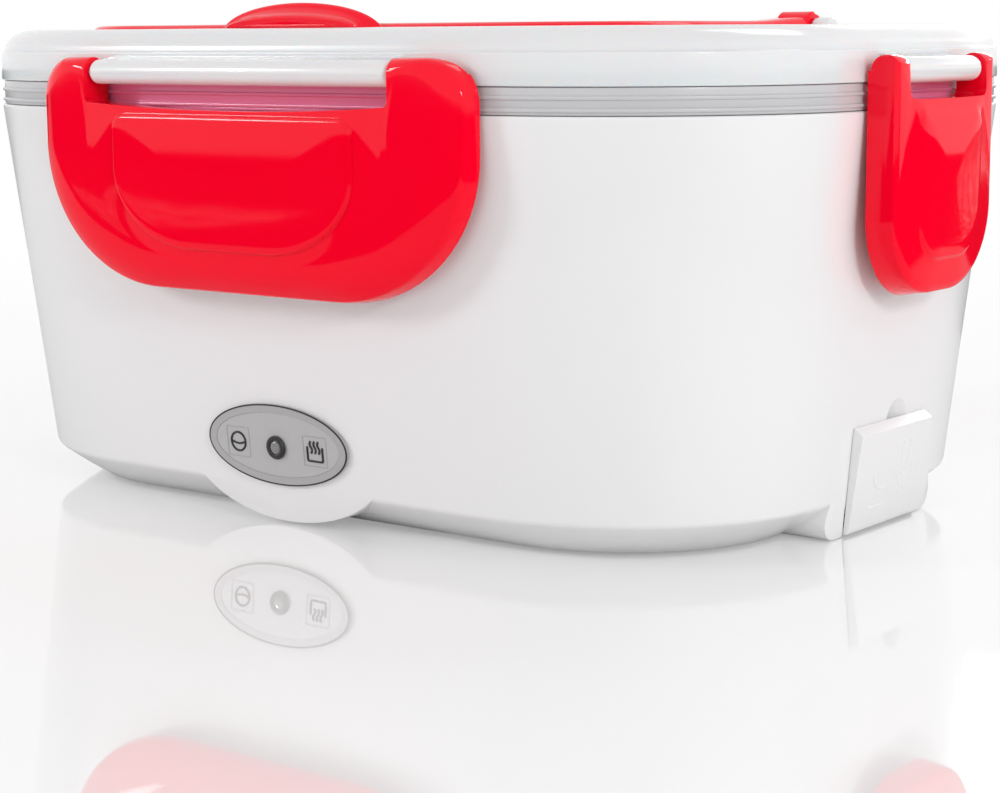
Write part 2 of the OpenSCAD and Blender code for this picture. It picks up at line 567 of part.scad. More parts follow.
module food_container() color([0.92, 0.93, 0.94, 0.9]) box_loft([
    [27.3, 25, 27], [27.9, 21, 30.6], [30, 18.6, 32.6], [34, 17.4, 33.6], [91.9, 12.4, 38.4], [91.9, 5.6, 44.4],
    [93.4, 5.6, 44.4], [94.0, 6.4, 43.8], [94.0, 13, 37.8], [93.2, 14, 37], [35, 19.2, 32], [31.4, 20.4, 31],
    [29.6, 23, 28.6], [29.2, 28, 24]]);

// Bowl outline at one height: [z, inset, radius]
function tray_ring(s) = [for (p = plan(tray_l / 2 - s[1], tray_w / 2 - s[1], s[2])) [p[0] + tray_x, p[1], s[0]]];
module side_tray() color(milk) loft([for (s = [
    [29.8, 12, 14], [30.4, 9, 17], [33, 7, 19], [86, 3.6, 24], [86, 1, 26.4], [87.2, 0.6, 26.8], [87.2, 5.2, 22.6],
    [36, 8.6, 18], [32.8, 10.4, 16], [31.6, 14, 12]]) tray_ring(s)]);
module tray_lid() color(red) difference() {
    loft([for (s = [
        [84, 5.9, 21.6], [84, 5.6, 22], [87.6, 5.5, 22.2], [87.6, 0.4, 27], [88.6, 0, 27.4], [89.4, 0.4, 27],
        [89.4, 6, 22], [88.6, 8, 20]]) tray_ring(s)]);
    // hollow under the plate, and a small steam hole
    loft([for (s = [[83, 7.2, 20.6], [87, 7.2, 20.6]]) tray_ring(s)]);
    translate([tray_x, 0, 80]) cylinder(r = 2, h = 20);
}

outer_shell();
inner_liner();
base_cover();
base_screws();
rubber_feet();
heating_plate();
ptc_heater();
heater_clamp();
clamp_screws();
insulation_pad();
thermal_fuse();
heater_leads();
inlet_socket();
inlet_pins();
inlet_screws();
inlet_cover();
cover_pin();
lamp_panel();
lamp_bezel();
lamp_lens();
lamp_led();
lamp_board();
lamp_leads();
lid_shell();
lid_gasket();
vent_plug();
carry_handle();
front_latch();
back_latch();
right_latch();
left_latch();
food_container();
side_tray();
tray_lid();
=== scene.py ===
# %% [markdown]
# # An electric lunch box
# The box is a tapered white housing with a ribbed rim, a milky lid that lifts off, four red latches that
# swing on bars of the lid, and a red carry handle that lies folded in the lid's recess. The engineering
# model is already packed with its bodies and joints. This script dresses it: each moulding that shows is
# rebuilt with smooth walls and softened edges in the same place, and each one gets a material.

import math

import bmesh
import bpy
import numpy as np
from mathutils import Matrix, Vector


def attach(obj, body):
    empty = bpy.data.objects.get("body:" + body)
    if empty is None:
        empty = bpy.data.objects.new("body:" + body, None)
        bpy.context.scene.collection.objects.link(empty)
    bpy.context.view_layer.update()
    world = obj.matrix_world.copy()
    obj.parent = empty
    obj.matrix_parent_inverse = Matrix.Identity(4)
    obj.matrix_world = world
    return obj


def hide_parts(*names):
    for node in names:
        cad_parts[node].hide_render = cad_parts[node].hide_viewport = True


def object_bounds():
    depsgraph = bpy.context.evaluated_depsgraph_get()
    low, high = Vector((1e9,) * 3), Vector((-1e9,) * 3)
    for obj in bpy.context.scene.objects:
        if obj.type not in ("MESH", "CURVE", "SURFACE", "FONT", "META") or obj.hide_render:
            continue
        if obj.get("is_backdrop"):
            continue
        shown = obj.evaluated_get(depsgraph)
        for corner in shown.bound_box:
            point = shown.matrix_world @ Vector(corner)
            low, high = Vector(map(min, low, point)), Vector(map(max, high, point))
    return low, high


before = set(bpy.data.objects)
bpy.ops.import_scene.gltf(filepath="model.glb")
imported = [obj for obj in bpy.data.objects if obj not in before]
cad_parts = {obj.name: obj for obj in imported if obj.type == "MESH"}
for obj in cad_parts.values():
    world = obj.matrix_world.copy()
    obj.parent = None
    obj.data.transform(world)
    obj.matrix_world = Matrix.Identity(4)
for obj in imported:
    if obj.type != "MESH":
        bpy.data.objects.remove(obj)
cad_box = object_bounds()

# %% [markdown]
# ## Sizes
# The mouldings follow a few sizes of the real box, in millimetres. All of them are modelled in millimetres
# and only turned into metres when a piece is finished, because rounding and cutting behave better there.

# %% Sizes of the box, in millimetres
MM = 0.001
HALF_L, HALF_W = 110.0, 77.5
BOW = 1.7
SHOULDER_Z, CREASE_Z, DRAFT, WALL = 87.8, 8.1, 7.5, 2.2
SKIRT_Z, LID_TOP, RECESS_Z = 93.3, 104.6, 99.0
HINGE_Z, LONG_OUT, SHORT_OUT = 95.6, 4.1, 4.6
BAR_R, STUB_R, EAR_R = 2.6, 1.5, 3.1
LAMP_Z, LAMP_DX, LAMP_DZ, LENS_R = 17.5, -0.7, -0.5, 1.48
INLET_Y, COVER_W, COVER_TOP, COVER_LOW = 3.5, 30.5, 23.1, 0.6
FACE_TOP, FACE_LOW, BLOCK_W, BLOCK_LOW = 2.4, 1.3, 46.0, 0.2
HANDLE_SPAN, HANDLE_REACH, HANDLE_DROP, HUB_R, HUB_W = 154.0, 66.5, 0.8, 4.0, 8.0
PIVOT_Y, PIVOT_Z, PIN_R, PIN_FIT = 10.0, 103.4, 1.8, 0.05
VENT_Y = 16.0
SCREWS_AT, FEET_AT = (78, 20), (56, 41)
TILT = math.atan(DRAFT / (SHOULDER_Z - CREASE_Z))


def lean(z):
    """How far the outer wall stands in from the seam outline at height z."""
    return DRAFT * (SHOULDER_Z - z) / (SHOULDER_Z - CREASE_Z)


low, high = cad_box
print("box of the solids, mm:", [round((b - a) / MM, 1) for a, b in zip(low, high)])

# %% [markdown]
# ## Camera
# The photograph looks at the front right corner from the height of the lid, with a moderately long lens.
# Its position was worked out from the box's own proportions, so it is given as a place and three angles.

# %% Camera
CAMERA_AT = Vector((325.84, -417.48, 102.95)) * MM
YAW, PITCH, ROLL = 0.657, 0.158, -0.006
LENS = 81.8


def camera_matrix(place, yaw, pitch, roll):
    """Looks along +Y turned left by yaw and down by pitch, then rolled about the line of sight."""
    ahead = Vector((-math.sin(yaw) * math.cos(pitch), math.cos(yaw) * math.cos(pitch), -math.sin(pitch)))
    right = Vector((math.cos(yaw), math.sin(yaw), 0))
    up = right.cross(ahead)
    turned = right * math.cos(roll) + up * math.sin(roll)
    raised = up * math.cos(roll) - right * math.sin(roll)
    columns = Matrix((turned, raised, -ahead)).transposed()
    return Matrix.Translation(place) @ columns.to_4x4()


camera = bpy.data.objects.new("camera", bpy.data.cameras.new("camera"))
camera.data.lens = LENS
camera.data.sensor_width = 36
camera.data.clip_start = 0.01
camera.matrix_world = camera_matrix(CAMERA_AT, YAW, PITCH, ROLL)
bpy.context.scene.collection.objects.link(camera)
bpy.context.scene.camera = camera
print("camera at", [round(v, 3) for v in CAMERA_AT])

# %% [markdown]
# ## Small shader helpers
# Every material is a Principled shader. What changes over a moulded surface, such as a faint unevenness of
# the gloss and the fine grain that a steel mould leaves, is the same on all of them, so it is one node group
# with its own sizes in each material.

# %% Node helpers
def feed(node, sockets):
    """Gives inputs of a node, by name or number, a value or the output that drives them."""
    for socket, value in sockets.items():
        if isinstance(value, bpy.types.NodeSocket):
            node.id_data.links.new(value, node.inputs[socket])
        else:
            node.inputs[socket].default_value = value


def add_node(tree, kind, sockets=None, **settings):
    """A new node. settings are its own properties, set before its inputs are fed."""
    node = tree.nodes.new(kind)
    for name, value in settings.items():
        setattr(node, name, value)
    feed(node, sockets or {})
    return node


def calculated(tree, operation, *terms):
    """The output of a calculation on outputs and plain values."""
    return add_node(tree, "ShaderNodeMath", dict(enumerate(terms)), operation=operation).outputs[0]


def mixed(tree, factor, first, second):
    sockets = {"Factor": factor, "A": first, "B": second}
    return add_node(tree, "ShaderNodeMix", sockets, data_type="RGBA").outputs["Result"]


def soft_step(tree, value, start, end):
    """0 before start and 1 past end, with a soft change between them."""
    sockets = {"Value": value, "From Min": start, "From Max": end}
    return add_node(tree, "ShaderNodeMapRange", sockets, interpolation_type="SMOOTHSTEP").outputs["Result"]


def product(tree, factors):
    total = factors[0]
    for factor in factors[1:]:
        total = calculated(tree, "MULTIPLY", total, factor)
    return total


def object_place(tree):
    """The object's own coordinates, as one vector and as X, Y and Z."""
    place = add_node(tree, "ShaderNodeTexCoord").outputs["Object"]
    return place, add_node(tree, "ShaderNodeSeparateXYZ", {0: place}).outputs


def new_group(name, kind, inputs, outputs):
    """An empty node group. inputs are (name, kind, value) and outputs (name, kind)."""
    tree = bpy.data.node_groups.new(name, kind)
    for in_out, rows in (("INPUT", inputs), ("OUTPUT", outputs)):
        for label, socket_kind, *value in rows:
            socket = tree.interface.new_socket(label, in_out=in_out, socket_type="NodeSocket" + socket_kind)
            if value:
                socket.default_value = value[0]
    return tree


def moulded_skin_group():
    """Colour, roughness and height of a moulded surface, from noise on the object's own coordinates."""
    tree = new_group("moulded_skin", "ShaderNodeTree", (
        ("Color", "Color", (0.8, 0.8, 0.8, 1)), ("Shade", "Color", (0.7, 0.7, 0.7, 1)),
        ("Cloud size", "Float", 18.0), ("Grain size", "Float", 1400.0), ("Roughness", "Float", 0.3),
        ("Spread", "Float", 0.05), ("Marks", "Float", 0.2)),
        (("Color", "Color"), ("Roughness", "Float"), ("Height", "Float")))
    given = add_node(tree, "NodeGroupInput").outputs
    place = add_node(tree, "ShaderNodeTexCoord").outputs["Object"]

    def noise(vector, scale, detail, roughness):
        sockets = {"Vector": vector, "Scale": scale, "Detail": detail, "Roughness": roughness}
        return add_node(tree, "ShaderNodeTexNoise", sockets).outputs["Fac"]

    clouds = noise(place, given["Cloud size"], 3.0, 0.55)
    grain = noise(place, given["Grain size"], 2.0, 0.6)
    stretch = add_node(tree, "ShaderNodeMapping", {
        "Vector": place, "Scale": (90, 700, 240), "Rotation": (0.4, 0.3, 0.7)})
    marks = noise(stretch.outputs["Vector"], 1.0, 4.0, 0.7)
    fine = add_node(tree, "ShaderNodeMapRange", {"Value": marks, "From Min": 0.66, "From Max": 0.78})
    swing = calculated(tree, "MULTIPLY_ADD", clouds, given["Spread"], given["Roughness"])
    scuffed = calculated(tree, "MULTIPLY", fine.outputs["Result"], given["Marks"])
    add_node(tree, "NodeGroupOutput", {
        "Color": mixed(tree, clouds, given["Color"], given["Shade"]),
        "Roughness": calculated(tree, "ADD", swing, scuffed), "Height": grain})
    return tree


moulded_skin = moulded_skin_group()
print("skin group:", len(moulded_skin.nodes), "nodes")

# %% [markdown]
# ## Plastics, metals and rubber
# The housing is white polypropylene with a soft gloss, the lid and the bowls are the same plastic without
# pigment, which lets light through, and the latches are polished red ABS. The metals and the silicone use
# the same group with larger grain. Numbers that don't change over the surface sit on the shader itself.

# %% Materials
GRAIN_HEIGHT = 0.0003


def plastic(name, color, shade, roughness, grain=1400.0, depth=0.05, spread=0.05, marks=0.15, clouds=18.0,
            **sockets):
    """color and shade are the two ends of its faint clouds; sockets are values on the shader itself."""
    material = bpy.data.materials.new(name)
    material.use_nodes = True
    tree = material.node_tree
    shader = tree.nodes["Principled BSDF"]
    skin = add_node(tree, "ShaderNodeGroup", {
        "Color": (*color, 1), "Shade": (*shade, 1), "Roughness": roughness, "Grain size": grain,
        "Spread": spread, "Marks": marks, "Cloud size": clouds}, node_tree=moulded_skin).outputs
    bump = add_node(tree, "ShaderNodeBump", {
        "Height": skin["Height"], "Strength": depth, "Distance": GRAIN_HEIGHT})
    feed(shader, {"Base Color": skin["Color"], "Roughness": skin["Roughness"],
                  "Normal": bump.outputs["Normal"]})
    for socket, value in sockets.items():
        shader.inputs[socket.replace("_", " ").title().replace("Ior", "IOR")].default_value = value
    return material


white_plastic = plastic("white_plastic", (0.87, 0.87, 0.875), (0.845, 0.845, 0.855), 0.26, depth=0.03,
                        coat_weight=0.25, coat_roughness=0.12)
# Painted shade: the liner is white plastic, painted darker because its rim lies in shade under the lid's
# skirt.
rim_plastic = plastic("rim_plastic", (0.60, 0.60, 0.615), (0.55, 0.55, 0.565), 0.26, coat_weight=0.3)
milky_plastic = plastic("milky_plastic", (0.81, 0.81, 0.82), (0.77, 0.775, 0.79), 0.16, depth=0.02,
                        coat_weight=0.35, coat_roughness=0.05, subsurface_weight=0.35, subsurface_scale=0.004)
red_plastic = plastic("red_plastic", (1.0, 0.0, 0.022), (0.96, 0.0, 0.018), 0.05, depth=0.006, spread=0.02,
                      marks=0.06, specular_ior_level=0.24)
black_plastic = plastic("black_plastic", (0.03, 0.03, 0.032), (0.018, 0.018, 0.02), 0.35, depth=0.15)
silver_print = plastic("silver_print", (0.58, 0.58, 0.59), (0.53, 0.535, 0.545), 0.34, grain=2600.0,
                       depth=0.06, metallic=0.35)
silver_border = plastic("silver_border", (0.50, 0.50, 0.51), (0.45, 0.45, 0.46), 0.36, grain=2600.0,
                        depth=0.06, metallic=0.3)
dark_print = plastic("dark_print", (0.02, 0.02, 0.022), (0.012, 0.012, 0.013), 0.4, depth=0.03)
grey_print = plastic("grey_print", (0.42, 0.42, 0.43), (0.38, 0.38, 0.39), 0.4, depth=0.03)
smoked_lens = plastic("smoked_lens", (0.24, 0.245, 0.25), (0.2, 0.2, 0.205), 0.12, depth=0.01,
                      coat_weight=0.8, coat_roughness=0.03)
steel = plastic("screw_steel", (0.58, 0.58, 0.59), (0.48, 0.48, 0.49), 0.28, grain=3000.0, metallic=1.0)
plated = plastic("plated_brass", (0.66, 0.60, 0.46), (0.58, 0.52, 0.38), 0.25, grain=3000.0, metallic=1.0)
aluminium = plastic("plate_aluminium", (0.66, 0.67, 0.68), (0.58, 0.58, 0.60), 0.38, grain=900.0, depth=0.12,
                    spread=0.15, metallic=1.0)
ceramic = plastic("heater_ceramic", (0.70, 0.68, 0.60), (0.60, 0.58, 0.50), 0.55, depth=0.2)
felt = plastic("insulation_felt", (0.55, 0.47, 0.32), (0.42, 0.35, 0.22), 0.9, grain=2200.0, depth=0.7)
sheath = plastic("lead_sheath", (0.74, 0.73, 0.68), (0.66, 0.65, 0.60), 0.5, depth=0.2)
board_green = plastic("board_green", (0.03, 0.16, 0.06), (0.02, 0.11, 0.04), 0.3, clouds=300.0, depth=0.1)
led_epoxy = plastic("led_epoxy", (0.55, 0.03, 0.02), (0.45, 0.02, 0.02), 0.12, coat_weight=0.5)
rubber = plastic("black_rubber", (0.028, 0.028, 0.03), (0.02, 0.02, 0.021), 0.75, depth=0.4)
silicone = plastic("grey_silicone", (0.60, 0.60, 0.58), (0.52, 0.52, 0.50), 0.55, depth=0.12,
                   subsurface_weight=0.2, subsurface_scale=0.003)
red_silicone = plastic("red_silicone", (0.72, 0.004, 0.02), (0.60, 0.003, 0.015), 0.45, depth=0.12)
print("materials:", len(bpy.data.materials))

# %% [markdown]
# With the latches closed, red light falls on the rim behind their slots. A soft mask on the rim's outside
# mixes a pink into its colour there.

# %% Rim behind the latches
RIM_TOP = 0.0936
FIRST_SOFT_EDGE, LAST_SOFT_EDGE, WALL_REACH = 0.003, -0.002, 0.0045


def behind_latches_group():
    """1 on the outside of the rim behind the slots of the latches, with soft edges, 0 elsewhere."""
    tree = new_group("behind_latches", "ShaderNodeTree", (), (("Mask", "Float"),))
    parts = object_place(tree)[1]
    sides = []
    for across, outwards, slot, half in (("X", "Y", 0.0450, HALF_W), ("Y", "X", 0.0185, HALF_L)):
        wall = half * MM - WALL_REACH
        edges = ((across, slot + FIRST_SOFT_EDGE, slot + LAST_SOFT_EDGE), (outwards, wall, wall + 0.001),
                 ("Z", RIM_TOP, RIM_TOP - 0.0005))
        sides.append(product(tree, [soft_step(tree, calculated(tree, "ABSOLUTE", parts[axis]), start, end)
                                    for axis, start, end in edges]))
    add_node(tree, "NodeGroupOutput", {"Mask": calculated(tree, "MAXIMUM", *sides)})
    return tree


def reddened_behind_latches(material, glow):
    """Mixes a pink into the base colour where red light from the latches falls on the rim."""
    tree = material.node_tree
    shader = tree.nodes["Principled BSDF"]
    plain = shader.inputs["Base Color"].links[0].from_socket
    mask = add_node(tree, "ShaderNodeGroup", node_tree=behind_latches_group()).outputs["Mask"]
    feed(shader, {"Base Color": mixed(tree, mask, plain, (*glow, 1))})


reddened_behind_latches(rim_plastic, (0.97, 0.27, 0.50))
print("rim nodes:", len(rim_plastic.node_tree.nodes))

# %% [markdown]
# ## From outlines to walls
# A thin-walled moulding is a stack of closed outlines, each a rounded rectangle whose long sides bow out a
# little. A profile says how far each outline stands in, how high it is and how round its corners are. Its
# corners are softened first, so that every edge of the moulding catches the light as a real one does.

# %% Outlines and lofts
CORNERS = ((1, 1), (-1, 1), (-1, -1), (1, -1))


def corner_middle(q, width, height, radius):
    return np.array((CORNERS[q % 4][0] * (width - radius), CORNERS[q % 4][1] * (height - radius)))


def corner_arc(q, width, height, radius, steps):
    """Points round corner q of a rounded rectangle with that half width and half height."""
    turn = np.radians(90 * (q + np.linspace(0, 1, steps + 1)))
    return corner_middle(q, width, height, radius) + radius * np.column_stack((np.cos(turn), np.sin(turn)))


def outline(half_l, half_w, radius, round_steps=16, long_steps=14, short_steps=6):
    """A rounded rectangle as x, y points, counter-clockwise, with points along its straight sides."""
    points = []
    for q in range(4):
        arc = corner_arc(q, half_l, half_w, radius, round_steps)
        points.extend(arc)
        end = math.radians(90 * (q + 1))
        outwards = np.array((math.cos(end), math.sin(end)))
        following = corner_middle(q + 1, half_l, half_w, radius) + radius * outwards
        steps = long_steps if q % 2 == 0 else short_steps
        points.extend(arc[-1] + (following - arc[-1]) * k / steps for k in range(1, steps))
    return np.array(points)


def at_height(points, z):
    return np.column_stack((points, np.full(len(points), z)))


def box_ring(z, inset, radius):
    """The box's outline at one height."""
    ring = outline(HALF_L - inset, HALF_W - inset, radius)
    ring[:, 1] *= 1 - BOW / HALF_W * (ring[:, 0] / HALF_L) ** 2
    return at_height(ring, z)


def soften(profile, reach, closed=False):
    """Rounds the corners of a profile of (z, inset, radius), reaching that far along each side."""
    stations = np.array(profile, float)
    count = len(stations)
    reaches = np.broadcast_to(reach, count)
    result = []
    for i, here in enumerate(stations):
        if not closed and i in (0, count - 1):
            result.append(here)
            continue
        back, ahead = stations[i - 1] - here, stations[(i + 1) % count] - here
        lengths = [max(np.hypot(*side[:2]), 1e-9) for side in (back, ahead)]
        share = [min(reaches[i], 0.45 * length) / length for length in lengths]
        start, end = here + back * share[0], here + ahead * share[1]
        for t in np.linspace(0, 1, 4):
            result.append((1 - t) ** 2 * start + 2 * t * (1 - t) * here + t * t * end)
    return result


def loft(rings, closed=False):
    """A mesh between stacked outlines. The ends get caps, unless the last outline joins the first."""
    count, side = len(rings), len(rings[0])
    points = [tuple(p) for ring in rings for p in ring]
    faces = []
    for j in range(count if closed else count - 1):
        k = (j + 1) % count
        for i in range(side):
            h = (i + 1) % side
            faces.append((j * side + i, j * side + h, k * side + h, k * side + i))
    if not closed:
        points += [tuple(np.mean(rings[0], axis=0)), tuple(np.mean(rings[-1], axis=0))]
        top = (count - 1) * side
        faces += [(count * side, (i + 1) % side, i) for i in range(side)]
        faces += [(count * side + 1, top + i, top + (i + 1) % side) for i in range(side)]
    mesh = bpy.data.meshes.new("loft")
    mesh.from_pydata(points, [], faces)
    return mesh


def box_shell(profile, reach, closed=False):
    return loft([box_ring(*station) for station in soften(profile, reach, closed)], closed)


print("points in one outline:", len(box_ring(0, 0, 50)))

# %% [markdown]
# ## Joining, cutting and finishing
# A moulding also has bosses, slots and holes. They are added and taken away with exact booleans between
# closed meshes. A finished piece is turned into metres, shaded smooth except at real edges, given its
# material, and set to ride on the body whose solids it stands for.

# %% Modelling helpers
def temporary(mesh):
    thing = bpy.data.objects.new("temporary", mesh)
    bpy.context.scene.collection.objects.link(thing)
    return thing


def applied(thing):
    """The evaluated mesh of a temporary object, which is removed."""
    graph = bpy.context.evaluated_depsgraph_get()
    mesh = bpy.data.meshes.new_from_object(thing.evaluated_get(graph))
    bpy.data.objects.remove(thing)
    return mesh


def combined(mesh, tools, operation):
    """mesh joined with, or cut by, or kept only inside, each of the tool meshes."""
    for tool in tools:
        body, other = temporary(mesh), temporary(tool)
        change = body.modifiers.new("change", "BOOLEAN")
        change.operation = operation
        change.solver = "EXACT"
        change.object = other
        mesh = applied(body)
        bpy.data.objects.remove(other)
    return mesh


def bevelled(mesh, width, steps=2, angle=35):
    """mesh with its sharp edges rounded."""
    thing = temporary(mesh)
    edge = thing.modifiers.new("edge", "BEVEL")
    edge.width, edge.segments = width, steps
    edge.limit_method, edge.angle_limit = "ANGLE", math.radians(angle)
    edge.use_clamp_overlap = True
    return applied(thing)


def joined(meshes):
    """Several closed meshes as one, each keeping its own faces."""
    work = bmesh.new()
    for mesh in meshes:
        work.from_mesh(mesh)
    result = bpy.data.meshes.new("joined")
    work.to_mesh(result)
    work.free()
    return result


def moved(mesh, matrix):
    copy = mesh.copy()
    copy.transform(matrix)
    if matrix.determinant() < 0:
        copy.flip_normals()
    return copy


def prism(points, start, end, axis="Z"):
    """A straight bar with that outline. axis is the way it runs: Z up, X with the outline in Y and Z."""
    rings = []
    for height in (start, end):
        ring = [(x, y, height) if axis == "Z" else (height, x, y) for x, y in points]
        rings.append(np.array(ring, float))
    return loft(rings)


def ellipse(rx, ry, steps=72):
    turn = np.linspace(0, 2 * math.pi, steps, endpoint=False)
    return np.column_stack((rx * np.cos(turn), ry * np.sin(turn)))


def lathe(profile, steps=48, closed=False):
    """A turned piece: profile is (radius, z) from the bottom up, and closed joins its ends to a ring."""
    return loft([at_height(ellipse(r, r, steps), z) for r, z in profile], closed)


def rod(radius, low, high, steps=32):
    return lathe([(radius, low), (radius, high)], steps)


def block(low, high):
    (x0, y0, z0), (x1, y1, z1) = low, high
    return prism([(x0, y0), (x1, y0), (x1, y1), (x0, y1)], z0, z1)


def rounded_rectangle(width, height, radius):
    return np.concatenate([corner_arc(q, width / 2, height / 2, radius, 6) for q in range(4)])


EDGE_ANGLE = 32


def piece(name, mesh, material, body, slot, *nodes):
    """A finished piece in metres, on its body, standing for those solids."""
    mesh.transform(Matrix.Scale(MM, 4))
    mesh.name = name
    mesh.materials.clear()
    mesh.materials.append(material)
    for polygon in mesh.polygons:
        polygon.use_smooth = True
    mesh.set_sharp_from_angle(angle=math.radians(EDGE_ANGLE))
    thing = bpy.data.objects.new(name, mesh)
    bpy.context.scene.collection.objects.link(thing)
    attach(thing, body)
    if nodes:
        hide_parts(*nodes)
    volume = bmesh.new()
    volume.from_mesh(mesh)
    print(f"{name}: {len(mesh.polygons)} faces, {volume.calc_volume(signed=True) * 1e9:.0f} mm3")
    volume.free()


X_AXIS = Matrix.Rotation(math.radians(90), 4, "Y")
UPRIGHT = Matrix.Rotation(math.radians(90), 4, "X")


def at(x, y, z):
    return Matrix.Translation((x, y, z))


def quarter_turn(quarter):
    return Matrix.Rotation(math.radians(90 * quarter), 4, "Z")


def wall_frame(distance, z, out, quarter=0, along=0):
    """Places things on the sloped wall: local Z points out of it and local Y up along it."""
    place = at(0, -(distance - lean(z)) - out * math.cos(TILT), z - out * math.sin(TILT))
    leaning = Matrix.Rotation(math.radians(90) + TILT, 4, "X")
    return at(0, along, 0) @ quarter_turn(quarter) @ place @ leaning


print("wall leans", round(math.degrees(TILT), 2), "degrees")

# %% [markdown]
# ## Housing
# The housing leans in towards the table and turns under at a crease. Below the lamp a half-oval lobe, and
# below the inlet a square block, carry the wall straight down to the base. The lobe is an oval prism kept
# only where it lies inside the wall carried on downwards, so its face can't stand off the wall.

# %% Housing
def straight_wall(low, high):
    """The wall's slope carried on between two heights, a hair inside the wall itself."""
    return loft([box_ring(z, lean(z) + 0.03, 48.8) for z in (low, high)])


housing = box_shell([
    (0.6, 19, 36.8), (3.2, 14.4, 42), (6.9, 9.0, 47.6), (CREASE_Z, DRAFT, 48.8), (50, lean(50), 49.6),
    (SHOULDER_Z, 0.0, 50), (SHOULDER_Z, 2.5, 47.6), (50, lean(50) + WALL, 47.4),
    (10.2, lean(10.2) + WALL, 46.6), (8.4, 11.2, 45), (4.6, 16.6, 39), (2.6, 20.3, 35.5), (0.6, 20.5, 35.4)],
    (0.3, 2.5, 1.5, 0.8, 8, 0.7, 0.4, 8, 1, 1, 1, 0.5, 0.2), closed=True)
oval = [(x, z + LAMP_Z) for x, z in ellipse(29, LAMP_Z - 0.6)]
lobe_bar = moved(prism(oval, 57, 78), UPRIGHT)
lobe = bevelled(combined(straight_wall(0.6, 12), [lobe_bar], "INTERSECT"), 0.5)
flank, BLOCK_R = BLOCK_W / 2, 4.0
turn = np.radians(np.linspace(0, 90, 7))
half_block = [(flank - BLOCK_R + BLOCK_R * math.sin(a), BLOCK_LOW + BLOCK_R - BLOCK_R * math.cos(a))
              for a in turn]
half_block += [(flank - 0.6, 6), (flank - 2.6, 11), (flank - 3, 24)]
block_outline = [(INLET_Y + y, z) for y, z in half_block] + [(INLET_Y - y, z) for y, z in half_block[::-1]]
block_bar = prism(block_outline, 90.3, 112, "X")
inlet_block = bevelled(combined(straight_wall(BLOCK_LOW, 11), [block_bar], "INTERSECT"), 0.7)


def catch_rib(width):
    points = [(1.5, -1.6), (0, -1.2), (-1.5, 0.9), (-1.5, 1.9), (0, 2.2), (1.5, 2.8)]
    return bevelled(prism(points, -width / 2, width / 2, "X"), 0.25)


CATCH_Z = 69.0
catches = []
for quarter in range(4):
    half, width = (HALF_W, 70) if quarter % 2 == 0 else (HALF_L, 24)
    place = quarter_turn(quarter) @ at(0, -(half - lean(CATCH_Z + 1)), CATCH_Z)
    catches.append(moved(catch_rib(width), place))
housing = combined(housing, [lobe, inlet_block, *catches], "UNION")

# %% [markdown]
# The openings are cut last: the lamp hole, the window behind the inlet cover, the pocket that the cover's
# knuckle turns in, and the thumb scoop above it, which is a shallow slice of a ball.

# %% Openings of the housing
HINGE_X, COVER_HINGE_Z = 101.4, 3.8


def lamp_frame(out):
    """The lamp sits a little to the left of the panel's middle and below it."""
    return at(LAMP_DX, 0, 0) @ wall_frame(HALF_W, LAMP_Z + LAMP_DZ, out)


lamp_hole = moved(rod(LENS_R + 0.1, -8, 4, 48), lamp_frame(0))
window = moved(prism(rounded_rectangle(24, 10.4, 2), -5.2, 3), wall_frame(HALF_L, 13, 0, 1, INLET_Y))
scoop_ball = bpy.data.meshes.new("scoop")
ball = bmesh.new()
bmesh.ops.create_uvsphere(ball, u_segments=64, v_segments=32, radius=6.9)
ball.to_mesh(scoop_ball)
ball.free()
scoop = moved(scoop_ball, wall_frame(HALF_L, COVER_TOP - 0.4, 5.4, 1, INLET_Y + 3.2))
pocket_half = COVER_W / 2 + 0.05
pocket = block((HINGE_X - 3.5, INLET_Y - pocket_half, -6), (121.4, INLET_Y + pocket_half, 6.3))
housing = combined(housing, [lamp_hole, window, scoop, pocket], "DIFFERENCE")
piece("housing", housing, white_plastic, "base", "white_plastic", "outer_shell")

# %% [markdown]
# ## A section swept along a path
# Several pieces are one section carried along a path: the beads round the rim, the seal in the lid, the
# carry handle and the fine printed strokes on the lamp panel. One Geometry Nodes tree makes them all. It
# turns the edges of its input into a curve, rounds the bends, and sweeps a rounded rectangle along it.

# %% Geometry Nodes: swept section
def geometry_tree(name, *inputs):
    rows = (("Geometry", "Geometry"), *inputs, ("Material", "Material"))
    tree = new_group(name, "GeometryNodeTree", rows, (("Geometry", "Geometry"),))
    return tree, add_node(tree, "NodeGroupInput").outputs


def ended(tree, given, geometry):
    """Every tree ends with real geometry that carries its material."""
    real = add_node(tree, "GeometryNodeRealizeInstances", {"Geometry": geometry})
    finish = add_node(tree, "GeometryNodeSetMaterial", {
        "Geometry": real.outputs["Geometry"], "Material": given["Material"]})
    add_node(tree, "NodeGroupOutput", {"Geometry": finish.outputs["Geometry"]})
    return tree


